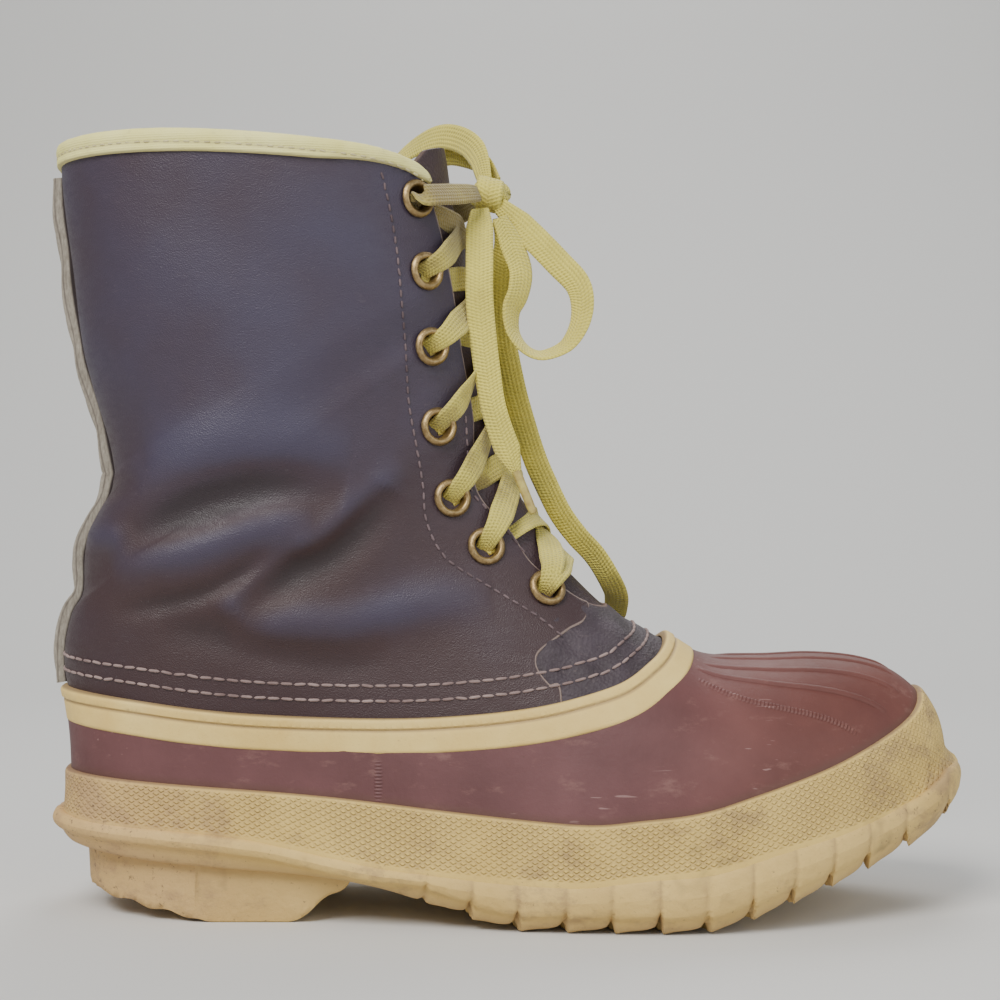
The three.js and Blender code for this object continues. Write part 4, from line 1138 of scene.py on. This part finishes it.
# The lacing: one flat woven cotton lace, 9 mm wide, yellow gone olive with dirt. A bar lies over
# the lowest two eyelets; from there each run comes up through an eyelet, crosses the tongue and
# goes in under the facing of the other side to the next eyelet up. Two ends rise from the top
# eyelets to the knot.
lace_width, lace_thickness = 0.009, 0.0013


def ribbon(name, centre, up, width=lace_width, thickness=lace_thickness):
    """A flat lace along centre: its section is a rounded bar, as wide as width and square to up,
    with a low rib along each edge. Its last rings close to points."""
    run = unit(np.gradient(centre, axis=0))
    across = unit(np.cross(up, run))
    face = np.cross(run, across)
    turn = np.linspace(0, 2 * math.pi, 19)[:-1]
    share = np.sign(np.cos(turn)) * np.abs(np.cos(turn)) ** 0.55
    rise = np.sign(np.sin(turn)) * np.abs(np.sin(turn)) ** 0.7 * (0.82 + 0.18 * np.abs(share))
    width, thickness = (np.broadcast_to(s, len(centre)).copy() for s in (width, thickness))
    rings = (
        centre[:, None] + across[:, None] * (width[:, None] / 2 * share)[..., None]
        + face[:, None] * (thickness[:, None] / 2 * rise)[..., None]
    )
    caps = [ring.mean(0) + (ring - ring.mean(0)) * 0.01 for ring in (rings[0], rings[-1])]
    rings = np.concatenate([caps[0][None], rings, caps[1][None]])
    along = distances(centre)
    along = np.repeat(np.concatenate([along[:1], along, along[-1:]]), len(turn))
    faces = sheet_faces(len(rings), len(turn), closed=True)
    made = rings.reshape(-1, 3), faces, along, np.tile(share, len(rings))
    return mesh_object(name, made[0], made[1], 60, along=made[2], across=made[3]) if name else made


def crossing(start, end, keys, lifts, over, twist):
    """Centre, face direction, width and thickness of a run between two places of the form's grid,
    standing out from it by lifts in millimetres at the shares of its length in keys."""
    t = np.linspace(0, 1, 60)
    centre, normals = at(start[0] + (end[0] - start[0]) * t, start[1] + (end[1] - start[1]) * t)
    lift = through(np.column_stack([keys, lifts]), 8)
    lift = np.interp(t, lift[:, 0], lift[:, 1]) + over * np.exp(-(((t - 0.5) / 0.2) ** 2))
    centre = centre + normals * (lift / 1000)[:, None]
    run = np.gradient(centre, axis=0)
    side = unit(np.cross(normals, run))
    lean = np.radians(twist[0] * np.sin(math.pi * t) + twist[1] * np.sin(2 * math.pi * t))[:, None]
    width = np.interp(t, [0, 0.05, 0.14, 0.3, 0.5, 0.8, 1], [5.6, 6.6, 8.6, 8.0, 8.4, 8.0, 6.0]) / 1000
    thick = np.interp(t, [0, 0.06, 0.16, 1], [2.2, 1.9, 1.3, 1.2]) / 1000
    return centre, normals * np.cos(lean) + side * np.sin(lean), width, thick


keys = [0, 0.03, 0.07, 0.14, 0.21, 0.32, 0.5, 0.68, 0.8, 0.87, 1]
dive = [-3.2, 0.4, 3.1, 2.6, 1.3, -0.4, -1.0, -1.3, -2.0, -2.5, -2.7]
bar_keys = [0, 0.03, 0.08, 0.16, 0.26, 0.5, 0.74, 0.84, 0.92, 0.97, 1]
bar = [-2.8, 1.4, 3.1, 2.4, 1.2, 0.6, 1.2, 2.4, 3.1, 1.4, -2.8]
rng = np.random.default_rng(8)
runs = [crossing(eyelets["outer", 7], eyelets["inner", 7], bar_keys, bar, 0, (8, 14))]
for number in range(7, 1, -1):
    for name, other, over in (("outer", "inner", 0.0), ("inner", "outer", 0.9)):
        lean = rng.uniform(-38, 38), rng.uniform(-42, 42)
        runs.append(crossing(eyelets[name, number], eyelets[other, number - 1], keys, dive, over, lean))
knot_place = np.array([-0.009, -0.002, 0.236]) + origin
for name, side in sides.items():
    place, normal = form[eyelets[name, 1]], form_normals[eyelets[name, 1]]
    below = knot_place + [0, side * 0.003, 0]
    route = [
        place - normal * 0.0032, place + normal * 0.0005,
        place + normal * 0.0031 + [0.0018, 0, 0.0006],
        place * 0.62 + below * 0.38 + normal * 0.004,
        place * 0.3 + below * 0.7 + normal * 0.0025,
        knot_place + [-0.0035, side * 0.0015, 0],
    ]
    centre = through(route, 9)
    t = np.linspace(0, 1, len(centre))
    up = np.tile(normal, (len(centre), 1)) + np.outer(np.sin(t * math.pi), [0.1, 0, 0.5])
    width = np.interp(t, [0, 0.3, 0.6, 1], [5.6, 8.0, 8.0, 5.0]) / 1000
    runs.append((centre, up, width, np.interp(t, [0, 0.3, 1], [2.0, 1.4, 2.0]) / 1000))
made = [ribbon("", *run) for run in runs]
crossings = mesh_object(
    "lace_runs", *gathered(made), 60,
    along=np.concatenate([m[2] for m in made]), across=np.concatenate([m[3] for m in made]),
)


def lace_look(name, fresh, dirty, dirt, soiled=(1.0, 1.1)):
    """Woven cotton: a herringbone of threads across the lace, fuzz, dirt in patches and all over
    from the heights in soiled."""
    made, point, surface = material(name)
    along, across = point.layer("along"), point.layer("across")
    slope = (across.math("ABSOLUTE", across) * 1.6 + along / 0.0011).folded() * 2
    lines = (across * 3.2).folded() * 2
    weave = slope * 0.6 + lines * 0.6
    fuzz = point.noise(2200, 4, 0.7)
    tone = point.noise(70, 4, 0.6).spread(2.2).mixed(fresh, tuple(c * 0.8 for c in fresh))
    tone = (point.noise(34, 5, 0.65).step(dirt, dirt + 0.18) * 0.75).mixed(tone, dirty)
    high = point.axis(2)
    tone = (high.step(*soiled) * (point.noise(60, 4).step(0.3, 0.6) * 0.35 + 0.5)).mixed(tone, dirty)
    tone = ((1 - weave).step(0.45, 1.0) * 0.45).mixed(tone, tuple(c * 0.5 for c in dirty))
    tone = (fuzz.step(0.55, 0.72) * 0.3).mixed(tone, (0.66, 0.62, 0.30))
    surface(tone, 0.9, weave + fuzz * 0.8, 0.0004, **{"Sheen Weight": 0.25})
    return made


worn_lace = lace_look("olive flat lace", (0.72, 0.61, 0.11), (0.22, 0.155, 0.055), 0.50, (0.195, 0.225))
crossings.data.materials.append(worn_lace)
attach(crossings, "root")
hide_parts("lace_crossings")

# The bow: the same lace tied in a knot over the tongue, with two loops and two free ends. One
# loop hangs at the outer side and one falls over the collar to the inner side; the long end hangs
# down the front to the vamp, and the short one lies on the outer side. Each end is rolled into a
# hard tip.
turn = np.linspace(0, 2 * math.pi, 41)
level, rise = np.cos(turn), np.sin(turn)
wrap_centre = knot_place + np.stack([0.0006 * rise, 0.0043 * level, 0.0045 * rise], 1)
wrap_up = np.stack([0.25 * rise, level, rise], 1)
wrap = ribbon("", wrap_centre, wrap_up, 0.0092, 0.0026)
turn = np.linspace(0, 2 * math.pi, 25)[:-1]
tilt, spin = np.meshgrid(np.linspace(0, math.pi, 15), turn, indexing="ij")
wide = np.sin(tilt)
ball_shape = np.stack(
    [np.cos(tilt) * 0.0070, wide * np.cos(spin) * 0.0050, wide * np.sin(spin) * 0.0052], -1
)
ball_shape *= 1 + 0.06 * np.sin(spin * 3 + tilt * 5)[..., None]
ball_points = (ball_shape + knot_place).reshape(-1, 3)
ball_faces = sheet_faces(15, 24, closed=True)[:, ::-1]
knot = mesh_object(
    "lace_bow_knot", *gathered([wrap, (ball_points, ball_faces)]), 60,
    along=np.concatenate([wrap[2], tilt.ravel() * 0.006]),
    across=np.concatenate([wrap[3], np.sin(spin.ravel() * 2)]),
)
bright_lace = lace_look("yellow flat lace", (0.78, 0.67, 0.115), (0.46, 0.355, 0.075), 0.56)
knot.data.materials.append(bright_lace)
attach(knot, "root")
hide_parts("lace_knot")

tip_plastic, point, surface = material("yellowed lace tip")
surface(point.noise(400, 3).spread(2).mixed((0.55, 0.46, 0.12), (0.30, 0.20, 0.07)), 0.4)
lace_routes = {
    "lace_loop_outer": [
        (-5.6, -4.7, 232), (5.8, -10, 220.5), (14, -13, 211.6), (20, -15, 204.7),
        (21.6, -16, 197.8), (20.3, -16, 190.6), (16, -15.5, 184.3), (8.5, -15, 181.4),
        (2.9, -14.5, 183.4), (-1.1, -14, 189), (-1.7, -13.5, 196.2), (0.6, -13, 201.8),
        (1.5, -12, 209), (-1, -11, 217), (-5.5, -10.5, 227),
    ],
    "lace_loop_inner": [
        (-10.4, 0.9, 241), (-13, 8, 251), (-18, 15, 257), (-26, 23, 260), (-35, 31.5, 258),
        (-44, 40, 252.5), (-50, 45.5, 244), (-53, 48.5, 234), (-49, 48, 226), (-42, 44.5, 225),
        (-38, 41.5, 232), (-36, 39.5, 241), (-33, 35, 250), (-26, 27, 254.5), (-17, 19, 252.5),
        (-10, 12, 248), (-6, 6, 241),
    ],
    "lace_end_inner": [
        (-5, 2, 229), (-3.5, 3, 221), (-4, 4, 211), (-4.5, 4.5, 199), (-4, 4.5, 188),
        (-1.5, 4, 175), (1, 4, 165), (6, 3.5, 149), (10.5, 3, 138.5), (15, 3, 129.5),
        (20.5, 3, 122), (26.5, 4, 115.5), (31, 6, 108.5), (34, 11, 102.5), (34.5, 17, 98),
        (34, 23, 93), (33, 28, 87.5),
    ],
    "lace_end_outer": [
        (-12, -9, 230), (-12, -15, 221), (-12, -19, 211), (-12, -21, 200), (-11, -22, 188),
        (-9.5, -22.5, 176), (-7.5, -23, 164), (-4, -23.5, 153), (0, -23.8, 143),
    ],
}
for name, route in lace_routes.items():
    path = through(np.array(route) / 1000 + origin, 8)
    path = spaced(path, int(distances(path)[-1] / 0.0011))
    path[-1] = np.array(route[-1]) / 1000 + origin
    run = unit(np.gradient(path, axis=0))
    t = np.linspace(0, 1, len(path))
    is_loop = "loop" in name
    if is_loop:
        plane = np.array([0.15, -1.0, 0.1]) if "outer" in name else np.array([0.75, 0.65, 0.1])
        lean = np.radians(52 + 24 * np.sin(t * 7.5 + 0.6))[:, None]
    else:
        plane = np.array([0.2, -1.0, 0.1])
        lean = np.interp(t, [0, 0.5, 1], [62, 50, 35]) if "inner" in name else 68 + 14 * np.sin(t * 6)
        lean = np.radians(lean)[:, None]
    plane = unit(plane - run * (run @ plane)[:, None])
    up = np.cross(run, plane) * np.cos(lean) + plane * np.sin(lean)
    width = np.interp(t, [0, 0.08, 0.92, 1], [5.5, 9, 9, 5.5] if is_loop else [6, 9, 9, 3.4]) / 1000
    thick = np.interp(t, [0, 0.9, 1], [1.3, 1.3, 1.3 if is_loop else 2.6]) / 1000
    lace = ribbon(name + "_lace", path, up, width, thick)
    lace.data.materials.append(bright_lace)
    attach(lace, "root")
    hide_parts(name)
    parts = [knot] if name == "lace_loop_outer" else []
    if not is_loop:
        end = unit(path[-1] - path[-4])
        outline_of_tip = [(0, 1.75), (0.6, 1.6), (4, 1.5), (11, 1.45), (14, 1.35), (14.9, 0.9), (15, 0.1)]
        shape = through(outline_of_tip, 3) / 1000
        first = unit(np.cross(end, [0.3, 0.4, 0.9]))
        second = np.cross(end, first)
        spin = np.linspace(0, 2 * math.pi, 15)[:-1]
        spokes = first * np.cos(spin)[:, None] + second * np.sin(spin)[:, None]
        tube = path[-1] - end * 0.0004 + end * shape[:, None, :1] + spokes[None] * shape[:, None, 1:]
        tube = np.concatenate([(path[-1] - end * 0.0004 + spokes * 0.0001)[None], tube])
        tube_faces = sheet_faces(len(tube), 14, closed=True)
        tip = mesh_object(name.replace("end", "tip") + "_roll", tube.reshape(-1, 3), tube_faces, 50)
        tip.data.materials.append(tip_plastic)
        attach(tip, "root")
        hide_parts(name.replace("end", "tip"))
        parts.append(tip)
